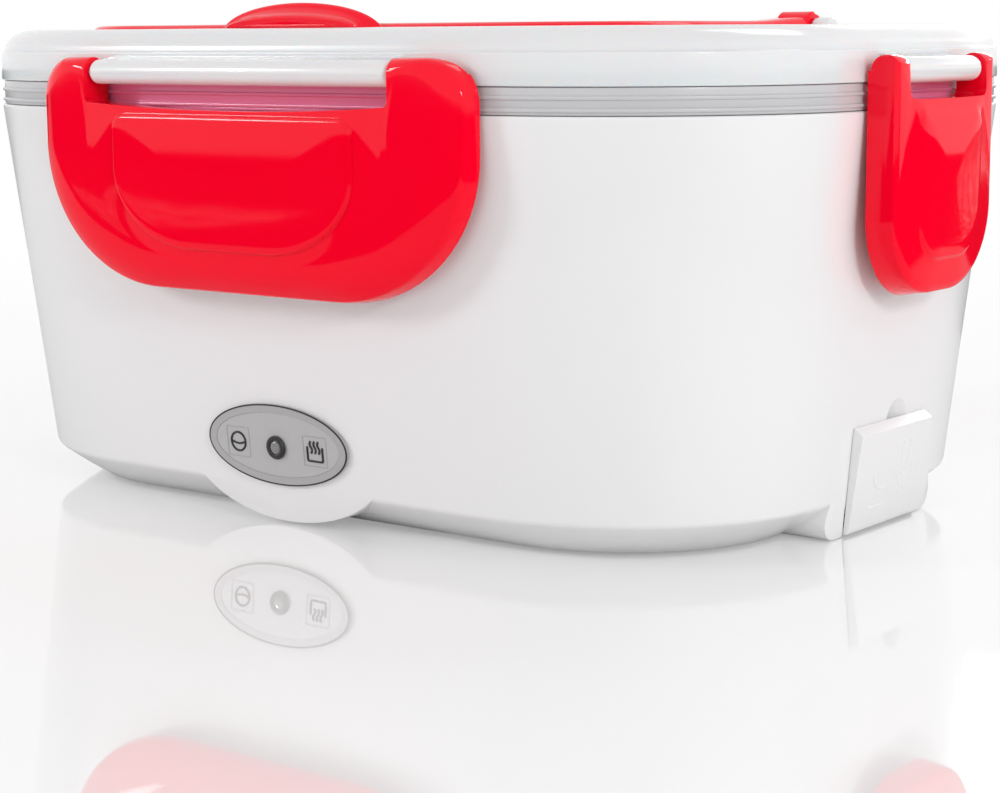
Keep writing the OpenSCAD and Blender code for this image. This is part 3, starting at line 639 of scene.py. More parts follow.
def swept_section_tree(name, upright):
    """upright keeps the section level along a path that lies flat."""
    tree, given = geometry_tree(name, ("Width", "Float", 1.0), ("Height", "Float", 1.0),
                                ("Edge radius", "Float", 0.3), ("Bend radius", "Float", 0.0))

    def rounded(curve, radius, count):
        sockets = {"Curve": curve, "Radius": radius, "Count": count, "Limit Radius": True}
        return add_node(tree, "GeometryNodeFilletCurve", sockets, mode="POLY").outputs["Curve"]

    path = add_node(tree, "GeometryNodeMeshToCurve", {"Mesh": given["Geometry"]})
    course = rounded(path.outputs["Curve"], given["Bend radius"], 16)
    section = add_node(tree, "GeometryNodeCurvePrimitiveQuadrilateral", {
        "Width": given["Width"], "Height": given["Height"]})
    edges = rounded(section.outputs["Curve"], given["Edge radius"], 4)
    if upright:
        course = add_node(tree, "GeometryNodeSetCurveNormal", {"Curve": course}, mode="Z_UP").outputs["Curve"]
    sweep = add_node(tree, "GeometryNodeCurveToMesh", {
        "Curve": course, "Profile Curve": edges, "Fill Caps": True})
    return ended(tree, given, sweep.outputs["Mesh"])


def grown(source, tree, **values):
    """The plain mesh that a tree makes from a source mesh, with the tree's named inputs set."""
    thing = temporary(source)
    modifier = thing.modifiers.new("grow", "NODES")
    modifier.node_group = tree
    for item in tree.interface.items_tree:
        label = item.name.replace(" ", "_").lower()
        if item.in_out == "INPUT" and label in values:
            modifier[item.identifier] = values[label]
    mesh = applied(thing)
    work = bmesh.new()
    work.from_mesh(mesh)
    bmesh.ops.remove_doubles(work, verts=work.verts, dist=1e-4)
    bmesh.ops.recalc_face_normals(work, faces=work.faces)
    work.to_mesh(mesh)
    work.free()
    return mesh


def strokes(lines, closed=False):
    """A mesh of bare edges along each line of points."""
    points, edges = [], []
    for line in lines:
        first = len(points)
        points.extend(tuple(map(float, p)) for p in line)
        edges += [(first + i, first + i + 1) for i in range(len(line) - 1)]
        if closed:
            edges.append((len(points) - 1, first))
    mesh = bpy.data.meshes.new("strokes")
    mesh.from_pydata(points, edges, [])
    return mesh


level_section = swept_section_tree("level_section", upright=True)
free_section = swept_section_tree("free_section", upright=False)
print("section trees:", len(level_section.nodes), len(free_section.nodes), "nodes")

# %% [markdown]
# ## Liner and its rim
# The well inside is a liner whose rim stands up between the housing and the lid. Two fine beads run round
# it. They follow a path, so the swept section makes them, half sunk in the rim's wall.

# %% Liner
liner = box_shell([
    (24, 36, 22), (24, 17.6, 33), (27, 14.4, 36.5), (89.6, 8.9, 41.6), (89.6, 3.2, 46.8),
    (SHOULDER_Z + 0.1, 3.2, 46.8), (SHOULDER_Z + 0.1, 0.6, 49.4), (93.2, 0.6, 49.4), (93.2, 2.3, 47.7),
    (95.8, 2.6, 47.4), (95.8, 4.7, 45.4), (91.7, 5.0, 45.1), (91.7, 10.6, 40), (28.5, 16, 35),
    (25.6, 19.4, 31.5), (25.6, 36, 22)],
    (0.3, 1.5, 1.5, 1, 0.8, 0.3, 0.3, 0.35, 0.3, 0.5, 0.5, 0.5, 0.8, 1.5, 1.5, 0.3), closed=True)
bosses = [moved(rod(3.6, 3.0, 24.4), at(sx * SCREWS_AT[0], sy * SCREWS_AT[1], 0)) for sx, sy in CORNERS]
piece("liner", joined([liner, *bosses]), rim_plastic, "base", "white_plastic", "inner_liner")
bead_paths = strokes([box_ring(z, 0.55, 49.4) for z in (88.9, 91.2)], closed=True)
beads = grown(bead_paths, level_section, width=0.7, height=0.8, edge_radius=0.3, material=rim_plastic)
piece("rim_beads", beads, rim_plastic, "base", "white_plastic")

# %% [markdown]
# ## Lid
# The lid's skirt drops straight down over the rim. Above a fine step it curves over into a rolled rim round
# the recess that holds the handle. Each side has a hinge bar on a sloping web, and a stub at each end of
# the bar turns in the latch's ear. Bars, webs and the handle's lugs are joined to the shell as one moulding.

# %% Lid
LONG_SLOT, SHORT_SLOT = 84.4, 33.2


def rounded_rod(length, radius, edge, stub_length):
    """A bar along X with softened ends, and a thinner stub at each end."""
    half = length / 2
    turns = np.radians(np.linspace(0, 90, 6))
    end = [(radius - edge + edge * math.cos(a), half - edge + edge * math.sin(a)) for a in turns]
    bar = [(r, -x) for r, x in reversed(end)] + end
    return [moved(lathe(bar), X_AXIS), moved(rod(STUB_R, -half - stub_length, half + stub_length), X_AXIS)]


def side_matrix(quarter):
    """From the place of a hinge line at the front to side 0 front, 1 right, 2 back or 3 left."""
    reach = HALF_W + LONG_OUT if quarter % 2 == 0 else HALF_L + SHORT_OUT
    return quarter_turn(quarter) @ at(0, -reach, HINGE_Z)


lid = box_shell([
    (97.1, 18, 33), (97.1, 7.4, 43), (98.6, 6.8, 43.4), (98.9, 2.4, 47.6), (96.2, 1.8, 48.2),
    (SKIRT_Z, 1.7, 48.3), (SKIRT_Z, 0, 50), (99.6, 0.2, 49.8), (99.8, 0.8, 49.3), (101.6, 1.3, 48.8),
    (103.4, 3.1, 47), (104.4, 5.4, 45), (LID_TOP, 7.4, 43.2), (104.3, 10, 41), (103.2, 11.8, 39.4),
    (99.8, 13.4, 38), (RECESS_Z, 15.6, 36)],
    (0, 0.4, 0.5, 0.5, 0.8, 0.3, 0.45, 0.12, 0.25, 0.9, 1.2, 1.2, 1.2, 1.2, 1.0, 1.0, 0.6))
additions = []
for quarter in range(4):
    slot, stub_length, out = (LONG_SLOT, 7.4, LONG_OUT) if quarter % 2 == 0 else (SHORT_SLOT, 3.4, SHORT_OUT)
    length = slot - 1.2
    web = [(0, BAR_R - 0.12), (0, 0.4), (out + 1.2, 0.6), (out + 1.2, 3.5)]
    parts = rounded_rod(length, BAR_R, 1.2, stub_length)
    parts.append(prism(web, -length / 2 + 1.2, length / 2 - 1.2, "X"))
    additions += [moved(part, side_matrix(quarter)) for part in parts]
CROWN_R, LUG_REACH, LUG_W = 2.7, 8, 4
for side in (-1, 1):
    inner = side * (HANDLE_SPAN / 2 + HUB_W / 2 + 0.4)
    turn = np.radians(np.linspace(0, 180, 19))
    crown = [(PIVOT_Y + CROWN_R * math.cos(a), PIVOT_Z + CROWN_R * math.sin(a)) for a in turn]
    lug = [(PIVOT_Y - LUG_REACH, RECESS_Z - 0.6), (PIVOT_Y + LUG_REACH, RECESS_Z - 0.6), *crown]
    additions.append(bevelled(prism(lug, *sorted((inner, inner + side * LUG_W)), "X"), 0.4))
    turned = Matrix.Identity(4) if side > 0 else quarter_turn(2)
    additions.append(moved(rod(PIN_R, -7.4, 0.6), at(inner, PIVOT_Y, PIVOT_Z) @ turned @ X_AXIS))
additions.append(moved(lathe([(11, 0), (11, 1.3), (10.7, 1.6)]), at(0, VENT_Y, RECESS_Z - 0.4)))
lid = combined(lid, additions, "UNION")
seats = [rod(4, -4, 6, 48), rod(9.4, 0.5, 4.5, 48)]
lid = combined(lid, [moved(seat, at(0, VENT_Y, RECESS_Z)) for seat in seats], "DIFFERENCE")
piece("lid", lid, milky_plastic, "lid", "milky_plastic", "lid_shell")

# %% [markdown]
# ## Seal and steam vent
# The seal is a soft ring in the lid's channel, another section swept along the box's outline. The vent is a
# turned silicone plug with a half-round tab to pull it by.

# %% Seal and vent
seal_path = strokes([box_ring(97.3, 4.4, 46)], closed=True)
seal = grown(seal_path, level_section, width=3.2, height=2.2, edge_radius=0.8, material=silicone)
piece("seal", seal, silicone, "lid", "grey_silicone", "lid_gasket")
plug = lathe([(3.2, -3.4), (3.8, -2.4), (3.8, 0.8), (8.4, 0.8), (8.8, 1.2), (8.8, 2.0), (8.4, 2.4)])
tab_outline = [(5 * math.cos(a), 2.3 + 3.2 * math.sin(a)) for a in np.radians(np.linspace(0, 180, 17))]
tab = bevelled(moved(prism(tab_outline, -1, 1), UPRIGHT), 0.4)
vent = moved(joined([bevelled(plug, 0.3), tab]), at(0, VENT_Y, RECESS_Z))
piece("vent", vent, red_silicone, "vent", "red_silicone", "vent_plug")

# %% [markdown]
# ## Carry handle
# The handle is a bail: a rounded bar that runs from one hub forward, across the front and back to the other
# hub. That is a path with two bends, so the swept section makes it. Its arms are narrowed to the width of
# the hubs afterwards. A half-moon lip at the front gives the fingertips a hold.

# %% Carry handle
GRIP_W, GRIP_H, BEND_R = 10.5, 5.6, 24.0
half_span = HANDLE_SPAN / 2
front = -HANDLE_REACH
arm = [(half_span, y, 0) for y in range(-1, -26, -4)]
bend_ends = [(-half_span, front, 0), (half_span, front, 0)]
bail_path = strokes([[(-x, y, z) for x, y, z in arm] + bend_ends + arm[::-1]])
bail = grown(bail_path, level_section, width=GRIP_W, height=GRIP_H, edge_radius=2.2, bend_radius=BEND_R,
             material=red_plastic)


def ease(value):
    """0 to 1 with a soft start and end."""
    value = min(1, max(0, value))
    return value * value * (3 - 2 * value)


for vertex in bail.vertices:
    x, y, z = vertex.co
    if abs(x) > half_span - GRIP_W and y > front + BEND_R:
        width = HUB_W + (GRIP_W - HUB_W) * ease((-y - 20) / (HANDLE_REACH - 20))
        vertex.co.x = math.copysign(half_span + (abs(x) - half_span) * width / GRIP_W, x)
    vertex.co.z = z - HANDLE_DROP * ease((-y - 1) / 20)
print("bail:", len(bail.polygons), "faces")

# %% [markdown]
# The lip is a stack of upright half-ovals from front to back: a low front lobe, a dish behind it and a
# higher back lobe with a narrow edge. Its first and last outlines get caps, as every stack does.

# %% Finger lip and hubs
LIP = [(-76.8, 1.2, 17.2, 3.2), (-76.3, 1.1, 18, 3.8), (-75.7, 1.0, 18, 3.8), (-74.7, 0.8, 18.4, 4.3),
       (-73.5, 0.5, 19.6, 5.3), (-73.1, 0.2, 21.8, 6.1), (-72.4, -0.2, 22.8, 6.4), (-71.6, -1.0, 22.8, 6.0),
       (-70.4, -1.8, 21, 2.6), (-68, -1.8, 18, 0.6)]
turn = np.radians(np.linspace(0, 180, 49))
lip_rings = [np.column_stack((half * np.cos(turn), np.full(len(turn), y), low + (top - low) * np.sin(turn)))
             for y, low, half, top in soften(LIP, 0.3)]
lip = bevelled(loft(lip_rings[::-1]), 0.15, 2, 60)
hub_profile = [(HUB_R - 0.6, -HUB_W / 2), (HUB_R, -HUB_W / 2 + 0.6), (HUB_R, HUB_W / 2 - 0.6),
               (HUB_R - 0.6, HUB_W / 2)]
ends = [at(side * half_span, 0, 0) @ X_AXIS for side in (-1, 1)]
handle = combined(bail, [lip] + [moved(lathe(hub_profile), end) for end in ends], "UNION")
handle = combined(handle, [moved(rod(PIN_R + PIN_FIT, -5, 5), end) for end in ends], "DIFFERENCE")
handle = moved(handle, at(0, PIVOT_Y, PIVOT_Z))
piece("handle", handle, red_plastic, "handle", "red_plastic", "carry_handle")

# %% [markdown]
# ## Latches
# A latch is a shallow shell that hangs from two ears. Seen from outside its outline is a rectangle with two
# large rounds below. Its face rises from the edge to a raised panel, so it is a stack of such outlines that
# shrink as they come forward. Above the hinge line the ears are rounded over in side view, which is done by
# limiting how far their points may stand from the hinge.

# %% Latch shape
LATCH_DROP, RIDGE_DROP = 45.4, -29.6


def latch_outline(half, top, low, rx, rz, rt):
    """half width, top, bottom, radii of the bottom corners and radius of the top corners."""
    a = np.radians(np.linspace(0, 90, 25))
    right_top = np.column_stack((half - rt + rt * np.cos(a), top - rt + rt * np.sin(a)))
    left_top = np.column_stack((-half + rt - rt * np.sin(a), top - rt + rt * np.cos(a)))
    left_low = np.column_stack((-half + rx - rx * np.cos(a), low + rz - rz * np.sin(a)))
    right_low = np.column_stack((half - rx + rx * np.sin(a), low + rz - rz * np.cos(a)))
    return np.concatenate((right_top, left_top, left_low, right_low))


def latch_stack(width, sections, reach):
    """sections are (out, side inset, top, bottom inset, three radii); out is away from the box, to -Y."""
    rings = []
    for out, side, top, below, *radii in soften(sections, reach):
        ring = latch_outline(width / 2 - side, top, below - LATCH_DROP, *radii)
        rings.append(np.column_stack((ring[:, 0], np.full(len(ring), -out), ring[:, 1])))
    return loft(rings)


def slot_outline(width, low, corner, sag):
    """The slot seen from outside. Its lower edge sags in the middle."""
    points = rounded_rectangle(width, 40, corner) + np.array((0, 20 + low + sag))
    edge = np.linspace(-width / 2 + corner, width / 2 - corner, 33)[1:-1]
    dip = [(x, low + sag * (2 * x / width) ** 2) for x in edge]
    return np.concatenate((points[:21], dip, points[21:]))


def latch(width, slot, slot_low, slot_corner, sag, gap, skin, skin_reach, hollow, ridge, bore):
    """A latch hanging from a hinge line at the origin."""
    turn = np.radians(np.linspace(0, 180, 33))
    kept = [(-20, -60), (20, -60), (20, 0)] + [(EAR_R * math.cos(a), EAR_R * math.sin(a)) for a in turn]
    shell = combined(latch_stack(width, skin, skin_reach),
                     [prism(kept + [(-20, 0)], -width, width, "X")], "INTERSECT")
    gate = moved(prism(slot_outline(slot, slot_low, slot_corner, sag), -20, 20), UPRIGHT)
    shell = bevelled(combined(shell, [gate], "DIFFERENCE"), 0.35, 3, 40)
    cuts = [latch_stack(width, hollow, 0.6)]
    for side in (-1, 1):
        span = sorted((side * (slot / 2 - 1), side * (slot / 2 - 1 + bore)))
        cuts.append(moved(rod(STUB_R + PIN_FIT, *span), X_AXIS))
    shell = combined(shell, cuts, "DIFFERENCE")
    root = hollow[-1][0] + 0.6
    rib = prism([(-root, 3.4), (-root, -3), (gap - 0.2, -0.9), (gap - 0.2, 0.9)], -ridge / 2, ridge / 2, "X")
    return joined([shell, moved(bevelled(rib, 0.2), at(0, 0, RIDGE_DROP))])


# %% [markdown]
# The long sides share one latch and the short sides another. Each is made once, at the front, and turned to
# its side. Only the turned copies become pieces.

# %% The four latches
long_skin = [
    (-3.6, -0.6, EAR_R, -0.2, 34, 30, 9), (-0.3, 0.7, EAR_R, 0.2, 33.4, 29.8, 9),
    (0.5, 1.8, EAR_R, 1.0, 32.6, 29.2, 8.5), (1.7, 4.6, EAR_R, 2.6, 30.6, 27.6, 7),
    (2.6, 9, EAR_R, 4.4, 28, 25, 3.6), (3.1, 16, EAR_R, 6.6, 25, 21, 3), (3.3, 25.6, -8.6, 9, 22.6, 17, 3),
    (4.05, 25.9, -8.9, 9.3, 22.2, 16.6, 2.8), (4.25, 27, -9.9, 10.4, 21, 15.4, 2.2),
    (4.6, 38, -17, 19, 6, 5, 2)]
long_reach = (0, 0.8, 0.9, 2.0, 2.6, 3, 0.2, 0.45, 2, 0)
long_hollow = [(-6, 1.8, -9.4, 2, 31.6, 28, 2), (-1.7, 3.2, -9.4, 2.8, 30.6, 27, 2),
               (0.6, 11, -9.9, 6.4, 25, 22, 2), (1.4, 27.4, -10.6, 10.6, 21, 15, 2)]
short_skin = [
    (-3.7, 0, EAR_R, 0, 17, 17, 0.8), (2, 0.3, EAR_R, 1, 16.6, 16.6, 0.8),
    (2.7, 1, EAR_R, 2.4, 15.8, 15.8, 0.8),
    (3.5, 7.9, -7.2, 7.6, 9.6, 9.6, 2.6), (4.2, 8.5, -9.3, 8.1, 9, 9, 2.4), (4.7, 12, -12.4, 12, 6, 6, 2)]
short_reach = (0, 0.45, 0.45, 0.5, 0.5, 0)
short_hollow = [(-6, 1.7, -9.4, 1.8, 15, 15, 1.2), (0.7, 2.7, -9.4, 4, 13.6, 13.6, 1.2),
                (1.5, 9.6, -10.6, 9.4, 8, 8, 2)]
long_latch = latch(118, LONG_SLOT, -7.7, 1.0, 1.4, LONG_OUT, long_skin, long_reach, long_hollow, 66, 8.2)
short_latch = latch(42.6, SHORT_SLOT, -5.7, 1.6, 0.2, SHORT_OUT, short_skin, short_reach, short_hollow,
                    22, 4.4)
for quarter, name in enumerate(("front", "right", "back", "left")):
    shape = long_latch if quarter % 2 == 0 else short_latch
    piece(f"{name}_latch_shell", moved(shape, side_matrix(quarter)), red_plastic, f"latch_{name}",
          "red_plastic", f"{name}_latch")

# %% [markdown]
# ## Lamp panel
# The oval label is a metallic grey print with a darker border, and the lamp shows through a dark ring in its
# middle. Two plain symbols stand beside it: a round bowl and a warm dish. Their strokes are swept sections
# as thin as print.

# %% Lamp panel
PANEL_DX, PLATE_Z = -0.7, 0.62
PANEL = at(PANEL_DX, 0, 0) @ wall_frame(HALF_W, LAMP_Z, 0.12)
outer_oval, inner_oval = ellipse(19.75, 8.75, 96), ellipse(17.6, 6.9, 96)


def flat_ring(outside, inside, low, high):
    """A ring between two outlines with the same number of points."""
    rings = [at_height(edge, z)
             for edge, z in ((inside, low), (outside, low), (outside * 0.996, high), (inside, high))]
    return loft(rings, closed=True)


lamp_opening = ellipse(LENS_R + 0.7, LENS_R + 0.7, 96) + np.array((LAMP_DX - PANEL_DX, LAMP_DZ))
border = flat_ring(outer_oval, inner_oval, 0, 0.7)
plate = flat_ring(inner_oval * 0.999, lamp_opening, 0, PLATE_Z)
piece("panel_border", moved(border, PANEL), silver_border, "base", "silver_label", "lamp_panel")
piece("panel_plate", moved(plate, PANEL), silver_print, "base", "silver_label", "lamp_panel")


def arc(cx, cy, radius, start, end, steps):
    turn = np.radians(np.linspace(start, end, steps + 1))
    return [(cx + radius * math.cos(a), cy + radius * math.sin(a)) for a in turn]


def wave(cx, low, high, swing):
    return [(cx + swing * math.sin(2 * math.pi * t), low + (high - low) * t) for t in np.linspace(0, 1, 15)]


LEFT_X, RIGHT_X, SYMBOL_Y = -11.1, 10.9, -0.3


def lifted(points, height=0.64):
    return [(x, y + SYMBOL_Y, height) for x, y in points]


bowl_symbol = [arc(LEFT_X, 0, 2.05, 0, 360, 32), arc(LEFT_X, 3.9, 4.3, 242.5, 297.5, 12)]
dish_symbol = [[(RIGHT_X - 2.1, 1.0), (RIGHT_X - 2.1, -2.1), (RIGHT_X + 2.1, -2.1), (RIGHT_X + 2.1, 1.0)]]
dish_symbol += [wave(RIGHT_X + dx, -0.4, 2.2, 0.28) for dx in (-1.05, 0, 1.05)]
FRAME = 3.2
frames = [[(cx - sx * FRAME, -sy * FRAME) for sx, sy in (*CORNERS, CORNERS[0])] for cx in (LEFT_X, RIGHT_X)]
dark_strokes = grown(strokes([lifted(line) for line in bowl_symbol + dish_symbol]), free_section, width=0.46,
                     height=0.4, edge_radius=0.15, bend_radius=0.4, material=dark_print)
pale_strokes = grown(strokes([lifted(line, 0.6) for line in frames]), free_section, width=0.26, height=0.26,
                     edge_radius=0.1, bend_radius=0.3, material=grey_print)
rim_path = [(x * 0.993, y * 0.985, PLATE_Z) for x, y in outer_oval]
rim_line = grown(strokes([rim_path], closed=True), level_section,
                 width=0.36, height=0.3, edge_radius=0.12, material=dark_print)
piece("panel_outline", moved(rim_line, PANEL), dark_print, "base", "black_plastic")
piece("panel_symbols", moved(dark_strokes, PANEL), dark_print, "base", "black_plastic")
piece("panel_frames", moved(pale_strokes, PANEL), grey_print, "base", "silver_label")

# %% Lamp ring and lens
RING = lamp_frame(0.82)
bezel_profile = [(1.53, 0), (2.55, 0), (2.55, 0.4), (2.4, 0.6), (1.75, 0.68), (1.53, 0.5)]
bezel = lathe(bezel_profile, 64, closed=True)
piece("lamp_ring", moved(bezel, RING), black_plastic, "base", "black_plastic", "lamp_bezel")
dome = [(LENS_R, -2.4), (LENS_R, 0.35)] + [((LENS_R - 0.1) * math.cos(a), 0.4 + 0.35 * math.sin(a))
                                       for a in np.radians(np.linspace(0, 80, 8))]
piece("lamp_dome", moved(lathe(dome), RING), smoked_lens, "base", "smoked_lens", "lamp_lens")

# %% [markdown]
# ## Inlet cover
# A flap hinged near the table hides the power inlet. Its face runs parallel to the wall, its top edge slopes
# back to it, and a faint moulded relief on the face gives a fingertip some grip.

# %% Inlet cover
def wall_x(z):
    return HALF_L - lean(z)


GAP, FACE_FROM, FACE_TO = 0.06, COVER_LOW + 0.9, COVER_TOP - 1.5
FACE_ENDS = [(wall_x(FACE_FROM) + FACE_LOW, FACE_FROM), (wall_x(FACE_TO) + FACE_TOP, FACE_TO)]
flap_profile = [(wall_x(COVER_LOW) + GAP, COVER_LOW), (wall_x(COVER_LOW) + FACE_LOW - 0.5, COVER_LOW),
                *FACE_ENDS, (wall_x(COVER_TOP) + GAP + 0.3, COVER_TOP), (wall_x(COVER_TOP) + GAP, COVER_TOP)]
flap = moved(prism(flap_profile, -INLET_Y - COVER_W / 2, -INLET_Y + COVER_W / 2), UPRIGHT)
AXLE = at(HINGE_X, INLET_Y, COVER_HINGE_Z) @ Matrix.Rotation(math.radians(-90), 4, "X")
knuckle = moved(rod(1.9, -12.75, 12.75, 40), AXLE)
pin_hole = moved(rod(1.0 + PIN_FIT, -15, 15), AXLE)
flap = combined(combined(bevelled(flap, 0.4, 3), [knuckle], "UNION"), [pin_hole], "DIFFERENCE")
(low_x, low_z), (top_x, top_z) = FACE_ENDS
up = Vector((top_x - low_x, 0, top_z - low_z)).normalized()
across = Vector((0, 1, 0))
FLAP_FACE = at((low_x + top_x) / 2, INLET_Y, (low_z + top_z) / 2) @ Matrix(
    (across, up, across.cross(up))).transposed().to_4x4()
relief_lines = [[(x, -4.5, 0), (x, 6.5, 0)] for x in (4.0, 6.6, 9.2)]
relief_lines += [[(x, y, 0) for x, y in arc(-3.5, 1.5, 4.2, 190, 300, 12)]]
relief_lines += [[(-8.5, -6.4, 0), (-1.0, -6.4, 0)]]
relief = grown(strokes(relief_lines), free_section, width=0.6, height=0.3, edge_radius=0.14,
               material=white_plastic)
flap = joined([flap, moved(relief, FLAP_FACE)])
piece("inlet_flap", flap, white_plastic, "inlet_flap", "white_plastic", "inlet_cover")
pin = moved(rod(1.0, -15.1, 15.1), AXLE)
piece("flap_pin", pin, steel, "base", "screw_steel", "cover_pin")

# %% [markdown]
# ## Food container, bowl and its lid
# They only show when the lid is off. They are drawn like the housing, as softened profiles of one outline.

# %% Food container
container = box_shell([
    (27.3, 25, 27), (27.9, 21, 30.6), (30, 18.6, 32.6), (34, 17.4, 33.6), (91.9, 12.4, 38.4),
    (91.9, 5.6, 44.4), (93.4, 5.6, 44.4), (94.0, 6.4, 43.8), (94.0, 13, 37.8), (93.2, 14, 37),
    (35, 19.2, 32), (31.4, 20.4, 31),
    (29.6, 23, 28.6), (29.2, 28, 24)], (0, 1, 1.5, 2, 0.5, 0.3, 0.5, 0.5, 0.6, 0.8, 2, 2, 2, 0))
piece("container", container, milky_plastic, "container", "milky_plastic", "food_container")

TRAY_X, TRAY_L, TRAY_W = 46.0, 74.0, 100.0


def tray_shell(profile, reach):
    rings = []
    for z, inset, radius in soften(profile, reach):
        ring = outline(TRAY_L / 2 - inset, TRAY_W / 2 - inset, radius, 12, 3, 3) + np.array((TRAY_X, 0))
        rings.append(at_height(ring, z))
    return loft(rings)


bowl = tray_shell([
    (29.8, 12, 14), (30.4, 9, 17), (33, 7, 19), (86, 3.6, 24), (86, 1, 26.4), (87.2, 0.6, 26.8),
    (87.2, 5.2, 22.6), (36, 8.6, 18), (32.8, 10.4, 16), (31.6, 14, 12)],
    (0, 0.8, 1.5, 0.5, 0.4, 0.3, 0.5, 2, 1.5, 0))
piece("bowl", bowl, milky_plastic, "tray", "milky_plastic", "side_tray")
cap = tray_shell([
    (84, 5.9, 21.6), (84, 5.6, 22), (87.6, 5.5, 22.2), (87.6, 0.4, 27), (88.6, 0, 27.4), (89.4, 0.4, 27),
    (89.4, 6, 22), (88.6, 8, 20)], (0, 0.2, 0.3, 0.3, 0.4, 0.4, 0.6, 0))
under = tray_shell([(83, 7.2, 20.6), (87, 7.2, 20.6)], 0)
steam_hole = moved(rod(2, 80, 100, 48), at(TRAY_X, 0, 0))
cap = combined(cap, [under, steam_hole], "DIFFERENCE")
piece("bowl_lid", cap, red_plastic, "tray_cap", "red_plastic", "tray_lid")

# %% [markdown]
# ## Feet and base screws
# Four feet and four screws repeat, so a second Geometry Nodes tree puts one modelled part on each point.

# %% Geometry Nodes: parts on points
def placed_parts_tree():
    tree, given = geometry_tree("placed_parts", ("Part", "Object"))
    points = add_node(tree, "GeometryNodeMeshToPoints", {"Mesh": given["Geometry"]})
    part = add_node(tree, "GeometryNodeObjectInfo", {"Object": given["Part"]})
    copies = add_node(tree, "GeometryNodeInstanceOnPoints", {
        "Points": points.outputs["Points"], "Instance": part.outputs["Geometry"]})
    return ended(tree, given, copies.outputs["Instances"])


placed_parts = placed_parts_tree()


def four_of(mesh, spot, material):
    """Four copies of a part, mirrored about the middle of the base."""
    part = temporary(mesh)
    points = strokes([[(sx * spot[0], sy * spot[1], 0)] for sx, sy in CORNERS])
    result = grown(points, placed_parts, part=part, material=material)
    bpy.data.objects.remove(part)
    return result


foot = lathe([(4.6, 0.0), (5.2, 0.25), (5.2, 0.6), (6.0, 0.6), (6.0, 1.35)])
piece("feet", four_of(foot, FEET_AT, rubber), rubber, "base", "black_rubber", "rubber_feet")
head = lathe([(2.6, 1.1), (2.9, 1.35), (2.9, 1.9), (1.28, 1.9), (1.28, 13.85)], 32)
cross = [block((-1.5, -0.3, 0.6), (1.5, 0.3, 1.55)), block((-0.3, -1.5, 0.6), (0.3, 1.5, 1.55))]
screw = combined(head, cross, "DIFFERENCE")
piece("screws", four_of(screw, SCREWS_AT, steel), steel, "base", "screw_steel", "base_screws")

# %% [markdown]
# ## Solids that stay
# The base cover and everything round the heater keep their engineering solids and only get materials.

# %% Materials of the solids that stay
KEPT = {"base_cover": white_plastic, "heating_plate": aluminium, "ptc_heater": ceramic, "heater_clamp": steel,
        "clamp_screws": steel, "insulation_pad": felt, "thermal_fuse": ceramic, "heater_leads": sheath,
        "inlet_socket": black_plastic, "inlet_pins": plated, "inlet_screws": steel,
        "lamp_led": led_epoxy, "lamp_board": board_green, "lamp_leads": sheath}
for node_name, material in KEPT.items():
    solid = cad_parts[node_name]
    solid.data.materials.clear()
    solid.data.materials.append(material)
print("solids that stay:", len(KEPT))

# %% [markdown]
# ## Floor and light
# The floor is white and glossy, so the box stands on its own pale reflection, and the camera sees it fade to
# plain white with distance. The polished parts mirror a table top that ends, with dark beyond and a few
# window panes, as in the photograph. The world gives an even light, small bright lamps draw the highlights
# and two wide low ones fill the walls.

# %% Floor
WHITE, DARK = (1, 1, 1, 1), (0.02, 0.02, 0.02, 1)
FLOOR_COLOR, TABLE_COLOR = (0.96, 0.96, 0.96, 1), (0.62, 0.62, 0.62, 1)
FLOOR_MIRROR, NEAR_WHITE = 0.36, 0.3


def table_in_gloss_group():
    """What the polished parts mirror of the floor: a pale table top that ends, and a few window panes."""
    tree = new_group("table_in_gloss", "ShaderNodeTree", (), (("Color", "Color"),))
    place, parts = object_place(tree)
    panes = add_node(tree, "ShaderNodeTexBrick", {
        "Vector": place, "Color1": WHITE, "Color2": (0.45, 0.45, 0.45, 1), "Mortar": DARK, "Scale": 8.0,
        "Mortar Size": 0.045, "Brick Width": 0.36, "Row Height": 0.46}, offset=0.5)

    def within(*edges):
        return product(tree, [soft_step(tree, parts[axis], start, end) for axis, start, end in edges])

    table = within(("X", 0.27, 0.24), ("Y", -0.30, -0.28), ("Y", 0.28, 0.25))
    left_panes = within(("X", -0.62, -0.60), ("X", -0.34, -0.36), ("Y", -0.55, -0.53), ("Y", -0.36, -0.38))
    beside = calculated(tree, "MULTIPLY_ADD", parts["X"], -2.1, parts["Y"])
    right_panes = product(tree, [within(("X", 0.25, 0.27)), soft_step(tree, beside, -0.25, -0.235)])
    window = calculated(tree, "MAXIMUM", left_panes, right_panes)
    around = mixed(tree, window, DARK, panes.outputs["Color"])
    add_node(tree, "NodeGroupOutput", {"Color": mixed(tree, table, around, TABLE_COLOR)})
    return tree


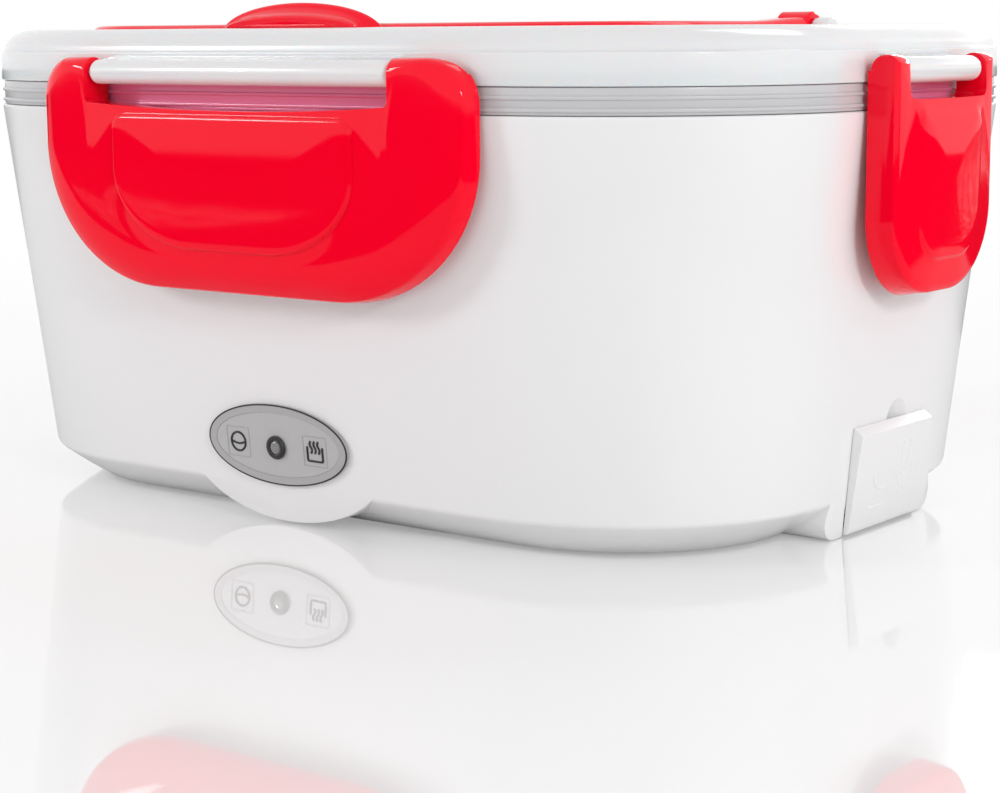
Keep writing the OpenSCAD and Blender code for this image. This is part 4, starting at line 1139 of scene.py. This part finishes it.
def floor_material():
    """White to the camera and fading to plain white; polished parts see the table and the window instead."""
    material = bpy.data.materials.new("white_floor")
    material.use_nodes = True
    tree = material.node_tree
    shader = tree.nodes["Principled BSDF"]
    rays = add_node(tree, "ShaderNodeLightPath").outputs
    camera_ray, glossy_ray = rays["Is Camera Ray"], rays["Is Glossy Ray"]
    mirrored = add_node(tree, "ShaderNodeGroup", node_tree=table_in_gloss_group()).outputs["Color"]
    feed(shader, {
        "Base Color": mixed(tree, glossy_ray, FLOOR_COLOR, mirrored),
        "Metallic": calculated(tree, "MULTIPLY", camera_ray, FLOOR_MIRROR),
        "Specular IOR Level": calculated(tree, "MULTIPLY_ADD", glossy_ray, -0.5, 0.5),
        "Roughness": calculated(tree, "MULTIPLY_ADD", glossy_ray, 0.9, 0.02)})
    place = object_place(tree)[0]
    far = add_node(tree, "ShaderNodeVectorMath", {0: place}, operation="LENGTH").outputs["Value"]
    fade = add_node(tree, "ShaderNodeMapRange", {
        "Value": far, "From Min": 0.16, "From Max": 0.65, "To Min": NEAR_WHITE}).outputs["Result"]
    blend = add_node(tree, "ShaderNodeMixShader", {
        "Fac": calculated(tree, "MULTIPLY", fade, camera_ray), 1: shader.outputs["BSDF"],
        2: add_node(tree, "ShaderNodeEmission").outputs["Emission"]})
    feed(tree.nodes["Material Output"], {"Surface": blend.outputs["Shader"]})
    return material


floor_mesh = bpy.data.meshes.new("floor")
FLOOR_REACH = 6.0
floor_mesh.from_pydata([(-sx * FLOOR_REACH, -sy * FLOOR_REACH, 0) for sx, sy in CORNERS], [], [(0, 1, 2, 3)])
floor_mesh.materials.append(floor_material())
floor = bpy.data.objects.new("floor", floor_mesh)
bpy.context.scene.collection.objects.link(floor)
floor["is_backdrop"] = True
print("floor:", 2 * FLOOR_REACH, "m wide")

# %% World and lamps
world = bpy.data.worlds.new("studio")
bpy.context.scene.world = world
world.use_nodes = True
tree = world.node_tree
rays = add_node(tree, "ShaderNodeLightPath").outputs
shown = rays["Is Camera Ray"]
for ray in ("Is Glossy Ray", "Is Transmission Ray"):
    shown = calculated(tree, "MAXIMUM", shown, rays[ray])
lighting = tree.nodes["Background"]
feed(lighting, {"Color": WHITE, "Strength": 0.57})
seen = add_node(tree, "ShaderNodeBackground", {"Color": WHITE, "Strength": 1.0})
choose = add_node(tree, "ShaderNodeMixShader", {
    "Fac": shown, 1: lighting.outputs["Background"], 2: seen.outputs["Background"]})
feed(tree.nodes["World Output"], {"Surface": choose.outputs["Shader"]})


def soft_lamp(name, place, size, brightness, mirrored=True):
    """A rectangular lamp that faces the box. brightness is how much brighter than white it looks, and
    mirrored says whether polished parts show it."""
    lamp = bpy.data.lights.new(name, "AREA")
    lamp.shape = "RECTANGLE"
    lamp.size, lamp.size_y = size
    lamp.energy = brightness * math.pi * size[0] * size[1]
    thing = bpy.data.objects.new(name, lamp)
    thing.location = place
    thing.visible_glossy = mirrored
    thing.rotation_euler = (Vector((0, 0, 0.05)) - Vector(place)).to_track_quat("-Z", "Y").to_euler()
    bpy.context.scene.collection.objects.link(thing)
    print(f"{name}: {lamp.energy:.2f} W")


soft_lamp("left_window", (-1.0, -0.95, 0.55), (0.24, 0.32), 22)
soft_lamp("right_lamp", (1.15, -0.55, 0.55), (0.18, 0.18), 36)
soft_lamp("top_lamp", (0.1, 0.8, 1.2), (0.5, 0.4), 3.0)
soft_lamp("back_lamp", (-0.05, 1.5, 0.55), (1.1, 0.14), 11)
soft_lamp("front_fill", (-0.3, -1.5, 0.16), (1.6, 0.26), 0.9, mirrored=False)
soft_lamp("right_fill", (1.5, 0.05, 0.32), (1.0, 0.6), 2.2, mirrored=False)

# %% Colour, sizes and the end
bpy.context.scene.view_settings.view_transform = "Standard"
visual_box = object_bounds()
for label, (low, high) in (("solids", cad_box), ("pieces", visual_box)):
    print(label, [round((b - a) / MM, 1) for a, b in zip(low, high)])
